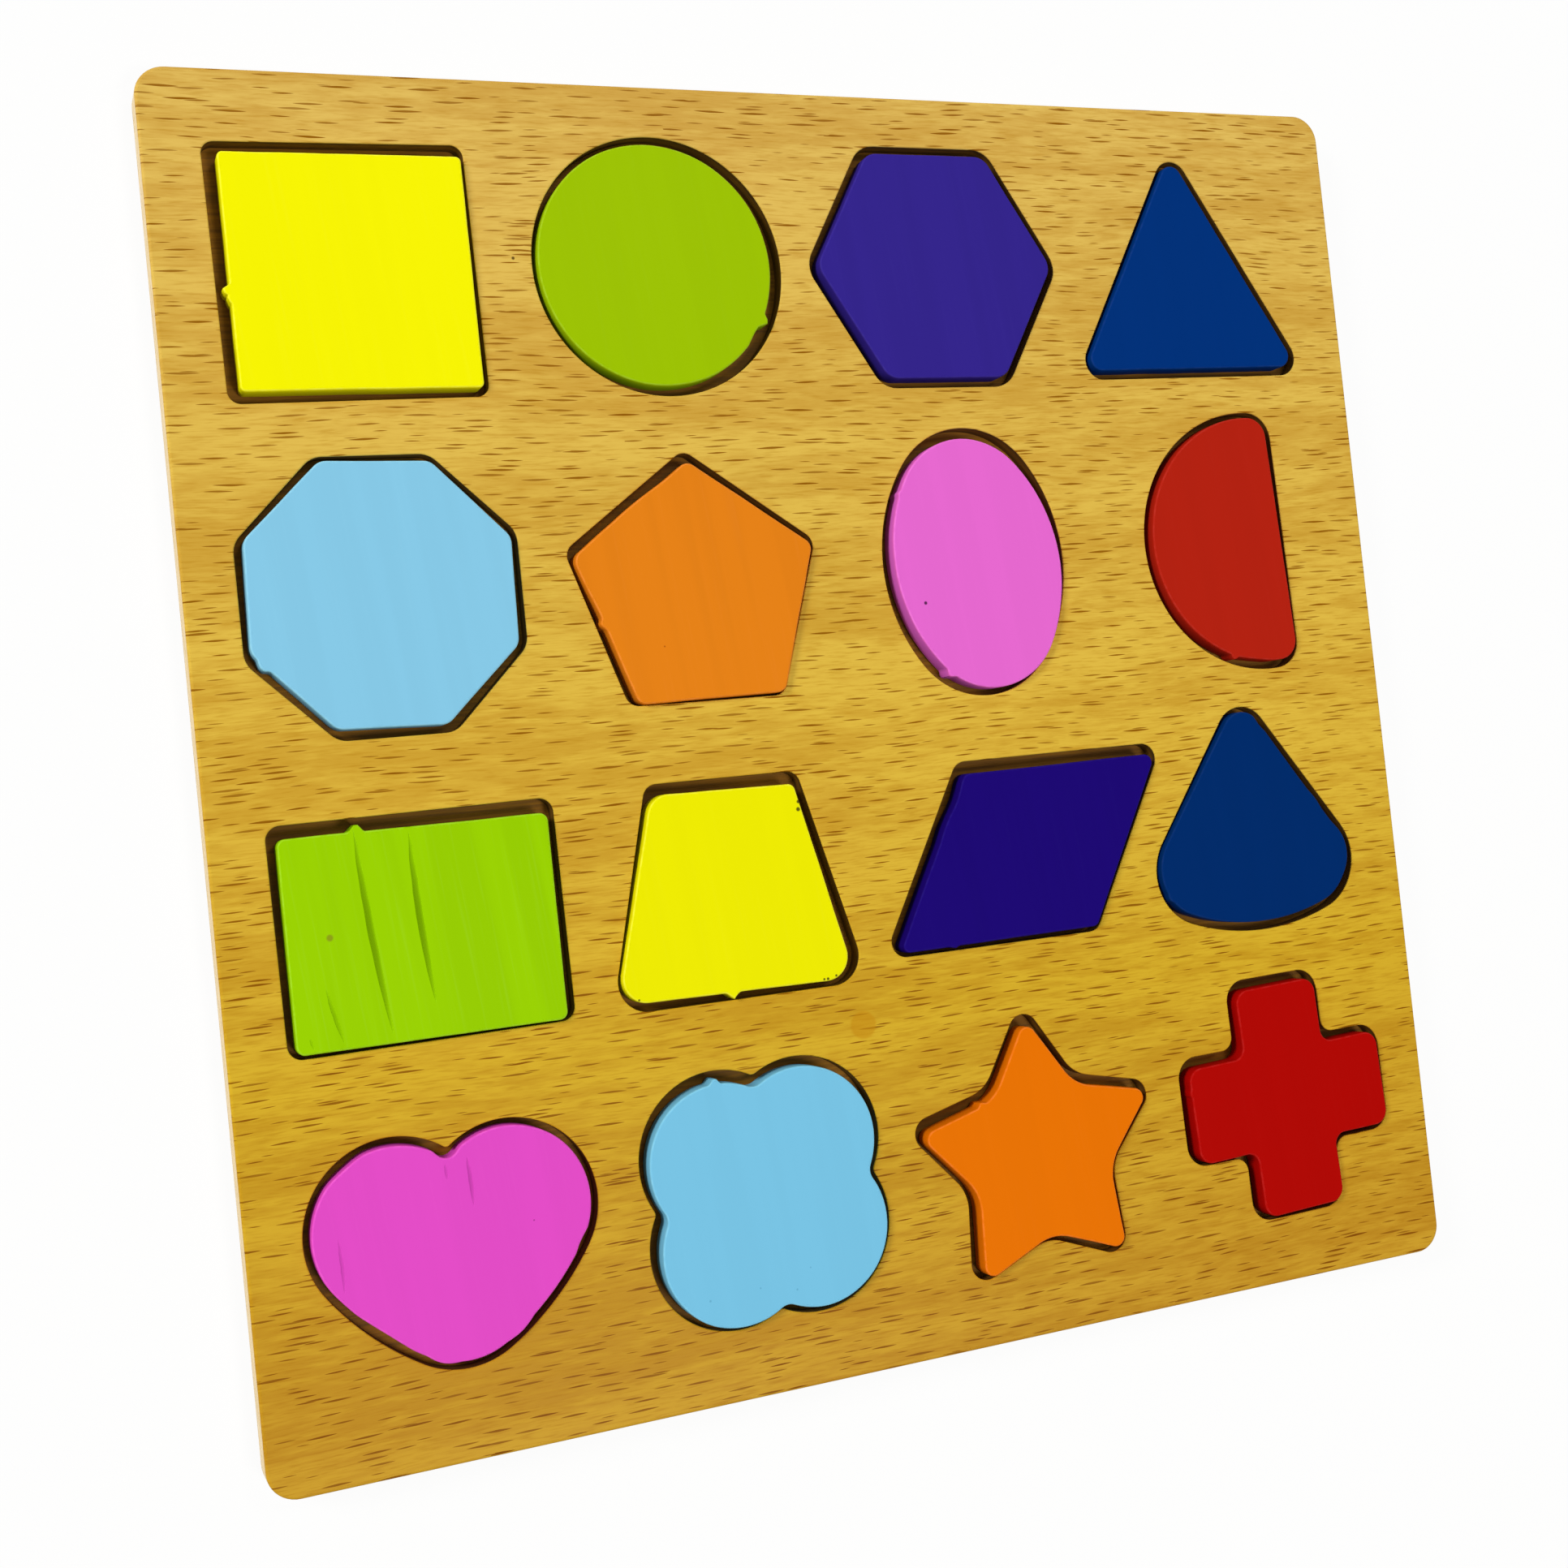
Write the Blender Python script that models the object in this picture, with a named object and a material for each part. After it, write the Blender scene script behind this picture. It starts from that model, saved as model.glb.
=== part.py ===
# Board puzzle with sixteen shapes. A thin panel with sixteen cut-outs is glued
# on a backing board, and a loose painted wooden shape lies in each recess.
# Lengths are in metres. The board lies flat with its face up (+Z), +X runs
# along a row of shapes and +Y from the lowest row to the highest.

import math

import bmesh
import bpy

# Board
PANEL_THICKNESS = 0.0030
BACKING_THICKNESS = 0.0027
GLUE_GAP = 0.0003  # between the panel and the backing board
BOARD_CORNER = 0.0050  # radius of the four outer corners
RIM_ROUNDING = 0.0005  # panel's upper rim and backing board's lower rim
CUT_OUT_EASING = 0.0002  # sanded edge round each cut-out
WEB = 0.0037  # wood left beside the cut-out that fills its cell
BORDER = 0.0055  # round the four by four cells

# Fit of the loose shapes
PLAY = 0.0013  # between a centred shape and its cut-out, all round
REST_GAP = 0.0003  # under a shape, and where it lies nearest to its cut-out
FREE_PLAY = PLAY - REST_GAP

# Loose shapes, each measured on the wood before its corners are rounded
SHAPE_THICKNESS = 0.0040
SHAPE_ROUNDING = 0.00035  # upper and lower edges

SQUARE_SIDE = 0.0396
SQUARE_CORNER = 0.0008

CIRCLE_DIAMETER = 0.0425

HEXAGON_FLATS = 0.0415  # across two flat sides
HEXAGON_CORNER = 0.0035

TRIANGLE_SIDE = 0.0480
TRIANGLE_CORNER = 0.0023

OCTAGON_FLATS = 0.0432
OCTAGON_CORNER = 0.0028

PENTAGON_SIDE = 0.0263
PENTAGON_CORNER = 0.0012

OVAL_WIDTH = 0.0340
OVAL_LENGTH = 0.0463
OVAL_END_RADIUS = 0.0140

HALF_MOON_RADIUS = 0.0236
HALF_MOON_CHORD = 0.0052  # from the arc's centre to the straight side
HALF_MOON_CORNER = 0.0039

RECTANGLE_LENGTH = 0.0441
RECTANGLE_WIDTH = 0.0343
RECTANGLE_CORNER = 0.0011

TRAPEZOID_BASE = 0.0437
TRAPEZOID_TOP = 0.0257
TRAPEZOID_HEIGHT = 0.0353
TRAPEZOID_BASE_CORNER = 0.0039
TRAPEZOID_TOP_CORNER = 0.0012

PARALLELOGRAM_BASE = 0.0405
PARALLELOGRAM_HEIGHT = 0.0308
PARALLELOGRAM_LEAN = 0.0169  # of the upper side over the lower one
PARALLELOGRAM_CORNER = 0.0015

FAN_RADIUS = 0.0433
FAN_ANGLE = 71.0  # degrees, between its two straight sides
FAN_TIP_CORNER = 0.0045
FAN_ARC_CORNER = 0.0090

HEART_LOBE_RADIUS = 0.0134
HEART_LOBE_SPACING = 0.0185
HEART_DEPTH = 0.0225  # from the lobes' centres down to the tip
HEART_TIP_RADIUS = 0.0124
HEART_FLANK_RADIUS = 0.0460
HEART_POINT = 0.0008  # rounding of the wood that points between the lobes

CLOVER_LOBE_RADIUS = 0.0132
CLOVER_LOBE_SPACING = 0.0148
CLOVER_POINT = 0.0013  # rounding of the wood that points between the lobes

STAR_RADIUS = 0.0255
STAR_INNER_RADIUS = 0.0144
STAR_TIP_CORNER = 0.0017
STAR_POINT = 0.0071  # rounding of the wood between two tips

CROSS_WIDTH = 0.0430
CROSS_ARM = 0.0178
CROSS_CORNER = 0.0027
CROSS_POINT = 0.0025  # rounding of the wood between two arms

ARC_TOLERANCE = 0.00005  # how far a facet may leave its arc
ROUNDING_STEPS = 2


# Outlines
#
# An outline is a belt round a ring of discs, listed counter-clockwise as
# (x, y, radius). A disc with a negative radius lies outside the belt, which
# makes a hollow. Discs that touch give arcs that run into each other.


def belt(discs):
    """Each disc with the angle of the outward normal where the belt meets it, and how far that turns."""
    if len(discs) == 1:
        return [(*discs[0], 0.0, math.tau)]
    leaving = []
    for (x, y, radius), (next_x, next_y, next_radius) in zip(discs, discs[1:] + discs[:1]):
        along = math.atan2(next_y - y, next_x - x)
        ratio = (radius - next_radius) / math.hypot(next_x - x, next_y - y)
        leaving.append(along - math.acos(max(-1.0, min(1.0, ratio))))
    arcs = []
    for i, (x, y, radius) in enumerate(discs):
        sweep = (leaving[i] - leaving[i - 1]) % math.tau
        if radius < 0:
            sweep -= math.tau
        arcs.append((x, y, radius, leaving[i - 1], sweep))
    return arcs


def reach(discs, angle):
    """How far the outline reaches from its origin towards an angle."""
    ends = []
    for x, y, radius, start, sweep in belt(discs):
        nearest = start if sweep > 0 else start + sweep
        inside = (angle - nearest) % math.tau
        if inside <= abs(sweep) + 1e-6 or math.tau - inside < 1e-6:
            ends.append(x * math.cos(angle) + y * math.sin(angle) + radius)
    return max(ends)


def centred(discs):
    """The outline with its origin in the middle of its width and of its height."""
    right, top, left, bottom = (reach(discs, math.pi / 2 * quarter) for quarter in range(4))
    return [(x - (right - left) / 2, y - (top - bottom) / 2, radius) for x, y, radius in discs]


def room(discs, lean):
    """The larger of the outline's width, less its lean, and its height."""
    right, top, left, bottom = (reach(discs, math.pi / 2 * quarter) for quarter in range(4))
    return max(right + left - lean, top + bottom)


def rim(discs):
    """Points along the outline, each with its outward normal: (x, y, normal x, normal y)."""
    points = []
    for x, y, radius, start, sweep in belt(discs):
        widest = max(abs(radius), abs(radius + PLAY))
        step = 2 * math.acos(1 - ARC_TOLERANCE / widest)
        steps = max(2, math.ceil(abs(sweep) / step))
        for i in range(steps + 1):
            angle = start + sweep * i / steps
            normal_x, normal_y = math.cos(angle), math.sin(angle)
            point = (x + radius * normal_x, y + radius * normal_y, normal_x, normal_y)
            if not points or math.dist(point[:2], points[-1][:2]) > ARC_TOLERANCE / 10:
                points.append(point)
    if math.dist(points[0][:2], points[-1][:2]) < ARC_TOLERANCE / 10:
        points.pop()
    return points


def filleted(corners):
    """A polygon's corners, given as (x, y, radius), turned into the discs that round them."""
    discs = []
    for i, (x, y, radius) in enumerate(corners):
        before_x, before_y = corners[i - 1][:2]
        after_x, after_y = corners[(i + 1) % len(corners)][:2]
        arriving = math.atan2(y - before_y, x - before_x)
        turn = (math.atan2(after_y - y, after_x - x) - arriving + math.pi) % math.tau - math.pi
        radius = math.copysign(radius, turn)
        inwards = arriving + turn / 2 + math.pi / 2
        away = radius / math.cos(turn / 2)
        discs.append((x + away * math.cos(inwards), y + away * math.sin(inwards), radius))
    return discs


def touching(first, second, radius):
    """The disc of a radius that touches two others where the belt runs from the first to it and on."""
    gap_x, gap_y = second[0] - first[0], second[1] - first[1]
    apart = math.hypot(gap_x, gap_y)
    to_first, to_second = radius - first[2], radius - second[2]
    along = (to_first**2 - to_second**2 + apart**2) / (2 * apart)
    aside = math.copysign(math.sqrt(to_first**2 - along**2), radius)
    return (
        first[0] + (along * gap_x - aside * gap_y) / apart,
        first[1] + (along * gap_y + aside * gap_x) / apart,
        radius,
    )


def box(width, height, corner):
    x, y = width / 2, height / 2
    return filleted([(-x, -y, corner), (x, -y, corner), (x, y, corner), (-x, y, corner)])


def regular(sides, radius, corner, first_angle=90.0):
    angles = [math.radians(first_angle + 360.0 * i / sides) for i in range(sides)]
    return filleted([(radius * math.cos(a), radius * math.sin(a), corner) for a in angles])


def from_flats(sides, flats):
    """Radius to the corners of a regular polygon, from its width across flats."""
    return flats / 2 / math.cos(math.pi / sides)


def from_side(sides, side):
    return side / 2 / math.sin(math.pi / sides)


def oval(width, length, end_radius):
    """An upright four-centred oval."""
    end = length / 2 - end_radius
    half = width / 2
    side_radius = (half**2 + end**2 - end_radius**2) / (half - end_radius) / 2
    aside = side_radius - half
    return [
        (-aside, 0.0, side_radius),
        (0.0, end, end_radius),
        (aside, 0.0, side_radius),
        (0.0, -end, end_radius),
    ]


def half_moon(radius, chord, corner):
    """A disc cut off to the right of its centre."""
    x = chord - corner
    y = math.sqrt((radius - corner) ** 2 - x**2)
    return [(x, y, corner), (0.0, 0.0, radius), (x, -y, corner)]


def trapezoid(base, top, height, base_corner, top_corner):
    y = height / 2
    return filleted(
        [
            (-base / 2, -y, base_corner),
            (base / 2, -y, base_corner),
            (top / 2, y, top_corner),
            (-top / 2, y, top_corner),
        ]
    )


def parallelogram(base, height, lean, corner):
    x, y = base / 2, height / 2
    return filleted(
        [
            (-x - lean / 2, -y, corner),
            (x - lean / 2, -y, corner),
            (x + lean / 2, y, corner),
            (-x + lean / 2, y, corner),
        ]
    )


def fan(radius, angle, tip_corner, arc_corner):
    """A sector with its tip up."""
    half = math.radians(angle) / 2
    corner_out = radius - arc_corner
    corner_angle = half - math.asin(arc_corner / corner_out)
    x, y = corner_out * math.sin(corner_angle), -corner_out * math.cos(corner_angle)
    return [
        (0.0, -tip_corner / math.sin(half), tip_corner),
        (-x, y, arc_corner),
        (0.0, 0.0, radius),
        (x, y, arc_corner),
    ]


def heart(lobe_radius, lobe_spacing, depth, tip_radius, flank_radius, notch_radius):
    left = (-lobe_spacing / 2, 0.0, lobe_radius)
    right = (lobe_spacing / 2, 0.0, lobe_radius)
    tip = (0.0, tip_radius - depth, tip_radius)
    return [
        tip,
        touching(tip, right, flank_radius),
        right,
        touching(right, left, -notch_radius),
        left,
        touching(left, tip, flank_radius),
    ]


def clover(lobe_radius, lobe_spacing, notch_radius):
    half = lobe_spacing / 2
    lobes = [(x, y, lobe_radius) for x, y in ((half, half), (-half, half), (-half, -half), (half, -half))]
    discs = []
    for lobe, following in zip(lobes, lobes[1:] + lobes[:1]):
        discs += [lobe, touching(lobe, following, -notch_radius)]
    return discs


def star(radius, inner_radius, tip_corner, inner_corner):
    corners = []
    for i in range(5):
        tip = math.radians(90 + 72 * i)
        dip = tip + math.radians(36)
        corners.append((radius * math.cos(tip), radius * math.sin(tip), tip_corner))
        corners.append((inner_radius * math.cos(dip), inner_radius * math.sin(dip), inner_corner))
    return filleted(corners)


def cross(width, arm, corner, inner_corner):
    out, half = width / 2, arm / 2
    quarter = [(out, -half, corner), (out, half, corner), (half, half, inner_corner)]
    corners = []
    for turn in range(4):
        c, s = round(math.cos(turn * math.pi / 2)), round(math.sin(turn * math.pi / 2))
        corners += [(c * x - s * y, s * x + c * y, radius) for x, y, radius in quarter]
    return filleted(corners)


# Layout: columns count from the left and rows from the top. Each cut-out sits
# "off" from the middle of its cell and is turned by "turn" degrees. Its shape
# has slid by "slide" and turned by "swing", both in shares of the free play.
# A shape whose sides lean reaches into the next cells by its "lean".

SHAPES = {
    "square_piece": {
        "outline": box(SQUARE_SIDE, SQUARE_SIDE, SQUARE_CORNER),
        "off": (-0.0016, -0.0004),
        "turn": 0.8,
        "slide": (0.80, -0.20),
        "swing": -0.17,
        "colour": "F6F402",
    },
    "circle_piece": {
        "outline": [(0.0, 0.0, CIRCLE_DIAMETER / 2)],
        "off": (-0.0017, 0.0009),
        "turn": 0.0,
        "slide": (-0.67, -0.20),
        "swing": 0.0,
        "colour": "9CC202",
    },
    "hexagon_piece": {
        "outline": regular(6, from_flats(6, HEXAGON_FLATS), HEXAGON_CORNER, 0.0),
        "off": (-0.0023, 0.0010),
        "turn": 0.0,
        "slide": (-0.10, 0.10),
        "swing": 0.0,
        "colour": "332489",
    },
    "triangle_piece": {
        "outline": regular(3, from_side(3, TRIANGLE_SIDE), TRIANGLE_CORNER),
        "off": (-0.0027, 0.0012),
        "turn": 0.5,
        "slide": (-0.69, 0.15),
        "swing": -0.04,
        "colour": "01317A",
    },
    "octagon_piece": {
        "outline": regular(8, from_flats(8, OCTAGON_FLATS), OCTAGON_CORNER, 22.5),
        "off": (-0.0009, 0.0001),
        "turn": 0.1,
        "slide": (-0.13, 0.23),
        "swing": -0.22,
        "colour": "86C9E6",
    },
    "pentagon_piece": {
        "outline": regular(5, from_side(5, PENTAGON_SIDE), PENTAGON_CORNER),
        "off": (-0.0009, 0.0005),
        "turn": 0.0,
        "slide": (0.47, -0.70),
        "swing": 0.20,
        "colour": "E38018",
    },
    "oval_piece": {
        "outline": oval(OVAL_WIDTH, OVAL_LENGTH, OVAL_END_RADIUS),
        "off": (-0.0005, 0.0006),
        "turn": 0.2,
        "slide": (-0.10, -0.20),
        "swing": 0.90,
        "colour": "E568D0",
    },
    "half_moon_piece": {
        "outline": half_moon(HALF_MOON_RADIUS, HALF_MOON_CHORD, HALF_MOON_CORNER),
        "off": (-0.0019, 0.0015),
        "turn": 1.5,
        "slide": (0.01, -0.04),
        "swing": 0.41,
        "colour": "B32313",
    },
    "rectangle_piece": {
        "outline": box(RECTANGLE_LENGTH, RECTANGLE_WIDTH, RECTANGLE_CORNER),
        "off": (0.0003, 0.0),
        "turn": 0.6,
        "slide": (0.0, -0.75),
        "swing": -0.15,
        "colour": "91C602",
    },
    "trapezoid_piece": {
        "outline": trapezoid(
            TRAPEZOID_BASE,
            TRAPEZOID_TOP,
            TRAPEZOID_HEIGHT,
            TRAPEZOID_BASE_CORNER,
            TRAPEZOID_TOP_CORNER,
        ),
        "off": (0.0001, 0.0003),
        "turn": 0.1,
        "slide": (-0.76, -0.28),
        "swing": -0.25,
        "colour": "EBE901",
    },
    "parallelogram_piece": {
        "outline": parallelogram(
            PARALLELOGRAM_BASE, PARALLELOGRAM_HEIGHT, PARALLELOGRAM_LEAN, PARALLELOGRAM_CORNER
        ),
        "lean": PARALLELOGRAM_LEAN,
        "off": (0.0042, 0.0014),
        "turn": 0.2,
        "slide": (0.0, -0.60),
        "swing": 0.16,
        "colour": "1E0972",
    },
    "fan_piece": {
        "outline": fan(FAN_RADIUS, FAN_ANGLE, FAN_TIP_CORNER, FAN_ARC_CORNER),
        "off": (-0.0006, 0.0021),
        "turn": -0.1,
        "slide": (-0.74, 0.36),
        "swing": -0.15,
        "colour": "012D6A",
    },
    "heart_piece": {
        "outline": heart(
            HEART_LOBE_RADIUS,
            HEART_LOBE_SPACING,
            HEART_DEPTH,
            HEART_TIP_RADIUS,
            HEART_FLANK_RADIUS,
            HEART_POINT + PLAY,
        ),
        "off": (0.0006, 0.0017),
        "turn": 0.7,
        "slide": (-0.14, 0.15),
        "swing": 0.14,
        "colour": "E04CC6",
    },
    "clover_piece": {
        "outline": clover(CLOVER_LOBE_RADIUS, CLOVER_LOBE_SPACING, CLOVER_POINT + PLAY),
        "off": (0.0006, 0.0018),
        "turn": 1.5,
        "slide": (0.35, -0.60),
        "swing": 0.30,
        "colour": "78C4E6",
    },
    "star_piece": {
        "outline": star(STAR_RADIUS, STAR_INNER_RADIUS, STAR_TIP_CORNER, STAR_POINT + PLAY),
        "off": (-0.0001, 0.0024),
        "turn": 0.9,
        "slide": (-0.09, -0.65),
        "swing": 0.37,
        "colour": "EB7302",
    },
    "cross_piece": {
        "outline": cross(CROSS_WIDTH, CROSS_ARM, CROSS_CORNER, CROSS_POINT + PLAY),
        "off": (0.0001, 0.0027),
        "turn": 1.3,
        "slide": (0.35, -0.45),
        "swing": 0.33,
        "colour": "B00A04",
    },
}
CELLS_ACROSS = 4

CELL = max(room(shape["outline"], shape.get("lean", 0.0)) for shape in SHAPES.values()) + 2 * PLAY + WEB
BOARD_SIDE = CELLS_ACROSS * CELL + 2 * BORDER
PANEL_BOTTOM = BACKING_THICKNESS + GLUE_GAP
PANEL_TOP = PANEL_BOTTOM + PANEL_THICKNESS


# Solids


def rounded_edge(height, radius, facing):
    """Levels (z, outward move) from the wall to the flat face: facing 1 for an upper edge, -1 for a lower one."""
    angles = [math.pi / 2 * i / ROUNDING_STEPS for i in range(ROUNDING_STEPS + 1)]
    return [(height - facing * radius * (1 - math.sin(a)), radius * (math.cos(a) - 1)) for a in angles]


def paint(name, colour, roughness):
    """A Principled material from an sRGB colour in hexadecimal."""
    channels = [int(colour[i : i + 2], 16) / 255 for i in (0, 2, 4)]
    linear = [c / 12.92 if c <= 0.04045 else ((c + 0.055) / 1.055) ** 2.4 for c in channels]
    material = bpy.data.materials.new(name)
    material.use_nodes = True
    shader = material.node_tree.nodes["Principled BSDF"]
    shader.inputs["Base Color"].default_value = (*linear, 1.0)
    shader.inputs["Roughness"].default_value = roughness
    shader.inputs["Metallic"].default_value = 0.0
    material.diffuse_color = (*linear, 1.0)
    return material


def lofted(name, points, levels, collection):
    """A closed solid whose section is the outline, moved out along its normals by each level's amount."""
    mesh = bmesh.new()
    rings = []
    for z, out in levels:
        rings.append([mesh.verts.new((x + out * nx, y + out * ny, z)) for x, y, nx, ny in points])
    for lower, upper in zip(rings, rings[1:]):
        for i in range(len(points)):
            mesh.faces.new((lower[i - 1], lower[i], upper[i], upper[i - 1]))
    mesh.faces.new(reversed(rings[0]))
    mesh.faces.new(rings[-1])
    data = bpy.data.meshes.new(name)
    mesh.to_mesh(data)
    mesh.free()
    data.shade_smooth()
    data.set_sharp_from_angle(angle=math.radians(35))
    made = bpy.data.objects.new(name, data)
    collection.objects.link(made)
    return made


def make_cutter(name, points):
    """A plug that saws a cut-out through the panel and eases its upper edge."""
    cutter = lofted(
        name,
        points,
        [
            (PANEL_BOTTOM - PANEL_THICKNESS, PLAY),
            (PANEL_TOP - CUT_OUT_EASING, PLAY),
            (PANEL_TOP + CUT_OUT_EASING, PLAY + 2 * CUT_OUT_EASING),
        ],
        cutters,
    )
    cutter.hide_render = True
    cutter.display_type = "WIRE"
    return cutter


for old in list(bpy.data.objects):
    bpy.data.objects.remove(old, do_unlink=True)

scene_collection = bpy.context.scene.collection
cutters = bpy.data.collections.new("cutters")
scene_collection.children.link(cutters)

board_rim = rim(box(BOARD_SIDE, BOARD_SIDE, BOARD_CORNER))
backing = lofted(
    "backing_board",
    board_rim,
    rounded_edge(0.0, RIM_ROUNDING, -1)[::-1] + [(BACKING_THICKNESS, 0.0)],
    scene_collection,
)
backing.data.materials.append(paint("backing", "C89E58", 0.7))

panel = lofted(
    "top_panel",
    board_rim,
    [(0.0, 0.0)] + rounded_edge(PANEL_THICKNESS, RIM_ROUNDING, 1),
    scene_collection,
)
panel.location = (0.0, 0.0, PANEL_BOTTOM)
panel.parent = backing
panel.data.materials.append(paint("beech_print", "DBB262", 0.45))

for number, (name, shape) in enumerate(SHAPES.items()):
    row, column = divmod(number, CELLS_ACROSS)
    x = (column - (CELLS_ACROSS - 1) / 2) * CELL + shape["off"][0]
    y = ((CELLS_ACROSS - 1) / 2 - row) * CELL + shape["off"][1]
    turn = math.radians(shape["turn"])
    points = rim(centred(shape["outline"]))

    cutter = make_cutter(name.replace("piece", "cut_out"), points)
    cutter.location = (x, y, 0.0)
    cutter.rotation_euler.z = turn

    piece = lofted(
        name,
        points,
        rounded_edge(0.0, SHAPE_ROUNDING, -1)[::-1] + rounded_edge(SHAPE_THICKNESS, SHAPE_ROUNDING, 1),
        scene_collection,
    )
    # The outline's longest arm against turning says how far the free play lets it turn.
    arm = max(abs(px * ny - py * nx) for px, py, nx, ny in points)
    slide_x, slide_y = (share * FREE_PLAY for share in shape["slide"])
    piece.location = (x + slide_x, y + slide_y, BACKING_THICKNESS + REST_GAP)
    piece.rotation_euler.z = turn + shape["swing"] * FREE_PLAY / max(arm, PLAY)
    piece.parent = backing
    piece.data.materials.append(paint(name.replace("piece", "paint"), shape["colour"], 0.4))

sawing = panel.modifiers.new("cut_outs", "BOOLEAN")
sawing.operation = "DIFFERENCE"
sawing.solver = "EXACT"
sawing.operand_type = "COLLECTION"
sawing.collection = cutters
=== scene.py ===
import math

import bmesh
import bpy
from mathutils import Matrix, Vector, noise


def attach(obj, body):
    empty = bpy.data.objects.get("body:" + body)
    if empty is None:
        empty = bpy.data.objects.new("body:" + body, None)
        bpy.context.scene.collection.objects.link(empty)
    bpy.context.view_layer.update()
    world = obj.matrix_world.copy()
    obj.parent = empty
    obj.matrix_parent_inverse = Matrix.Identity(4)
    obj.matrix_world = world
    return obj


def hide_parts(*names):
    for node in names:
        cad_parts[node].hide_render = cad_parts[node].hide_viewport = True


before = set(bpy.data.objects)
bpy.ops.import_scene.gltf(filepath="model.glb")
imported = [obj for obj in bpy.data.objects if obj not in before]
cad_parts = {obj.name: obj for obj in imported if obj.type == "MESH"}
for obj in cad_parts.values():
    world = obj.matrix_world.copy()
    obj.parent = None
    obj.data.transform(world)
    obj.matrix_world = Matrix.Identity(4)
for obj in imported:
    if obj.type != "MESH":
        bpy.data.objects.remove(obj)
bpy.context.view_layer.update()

mm = 0.001  # sizes below are in millimetres unless a note says otherwise


def hexColour(code):
    channels = [int(code[i : i + 2], 16) / 255 for i in (0, 2, 4)]
    linear = [c / 12.92 if c <= 0.04045 else ((c + 0.055) / 1.055) ** 2.4 for c in channels]
    return (*linear, 1.0)


def addNode(tree, kind, inputs=None, **options):
    # options are the node's own settings; an input is a value, or what to link from: a socket
    # or a node, which gives its first output
    node = tree.nodes.new(kind)
    for option, value in options.items():
        setattr(node, option, value)
    for key, value in (inputs or {}).items():
        if isinstance(value, bpy.types.Node):
            value = value.outputs[0]
        if isinstance(value, bpy.types.NodeSocket):
            tree.links.new(value, node.inputs[key])
        else:
            node.inputs[key].default_value = value
    return node


def newObject(name, data):
    made = bpy.data.objects.new(name, data)
    bpy.context.scene.collection.objects.link(made)
    return made


# Camera, where the photograph was taken from

view = {
    "lens": 45.21,
    "shift": (0.001, -0.0129),
    "place": (-0.142468, -0.0153, 0.322717),  # metres
    "right": (0.92408752, -0.10283428, 0.36808609),
    "up": (0.08545777, 0.99433222, 0.06324873),
    "back": (-0.372504, -0.02699155, 0.92763798),
}


def makeCamera():
    data = bpy.data.cameras.new("camera")
    data.sensor_width = 36.0
    data.lens = view["lens"]
    data.shift_x, data.shift_y = view["shift"]
    data.clip_start = 0.01
    camera = newObject("camera", data)
    turned = Matrix((view["right"], view["up"], view["back"])).transposed().to_4x4()
    camera.matrix_world = Matrix.Translation(view["place"]) @ turned
    bpy.context.scene.camera = camera


studio = {
    # each softbox: its place and size in metres, its power in watts and its colour
    "softboxes": [
        ((0.85, -1.15, 3.00), 0.9, 41.4, "FFFCF4"),
        ((0.75, 1.00, 2.00), 0.6, 8.1, "FFFCF4"),
        ((-2.40, 1.20, 1.45), 0.9, 56.2, "FFFCF4"),
    ],
    "skyColour": "F3F6FB",
    "skyStrength": 0.27,
    "floorColour": "F0F0EE",
    "floorGlow": 0.93,  # share of plain white in the floor that the camera sees
    "floorSize": 6.0,
    "floorDrop": 0.0002,  # below the board's underside
}


def seenDirectly(tree):
    # 1 for what the camera sees itself, in a shiny surface or through a clear one
    rays = addNode(tree, "ShaderNodeLightPath").outputs
    seen = rays["Is Camera Ray"]
    for kind in ("Is Glossy Ray", "Is Transmission Ray"):
        seen = addNode(tree, "ShaderNodeMath", {0: seen, 1: rays[kind]}, operation="MAXIMUM")
    return seen


def makeSoftboxes():
    for place, size, power, colour in studio["softboxes"]:
        data = bpy.data.lights.new("softbox", "AREA")
        data.shape = "DISK"
        data.size = size
        data.energy = power
        data.color = hexColour(colour)[:3]
        softbox = newObject("softbox", data)
        softbox.location = place
        softbox.rotation_euler = (-Vector(place)).to_track_quat("-Z", "Y").to_euler()


def makeSky():
    world = bpy.data.worlds.new("studioSky")
    bpy.context.scene.world = world
    world.use_nodes = True
    tree = world.node_tree
    tree.nodes.clear()
    sky = addNode(
        tree,
        "ShaderNodeBackground",
        {"Color": hexColour(studio["skyColour"]), "Strength": studio["skyStrength"]},
    )
    backdrop = addNode(tree, "ShaderNodeBackground", {"Color": (1, 1, 1, 1), "Strength": 1.0})
    shown = addNode(tree, "ShaderNodeMixShader", {0: seenDirectly(tree), 1: sky, 2: backdrop})
    addNode(tree, "ShaderNodeOutputWorld", {"Surface": shown})


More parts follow.
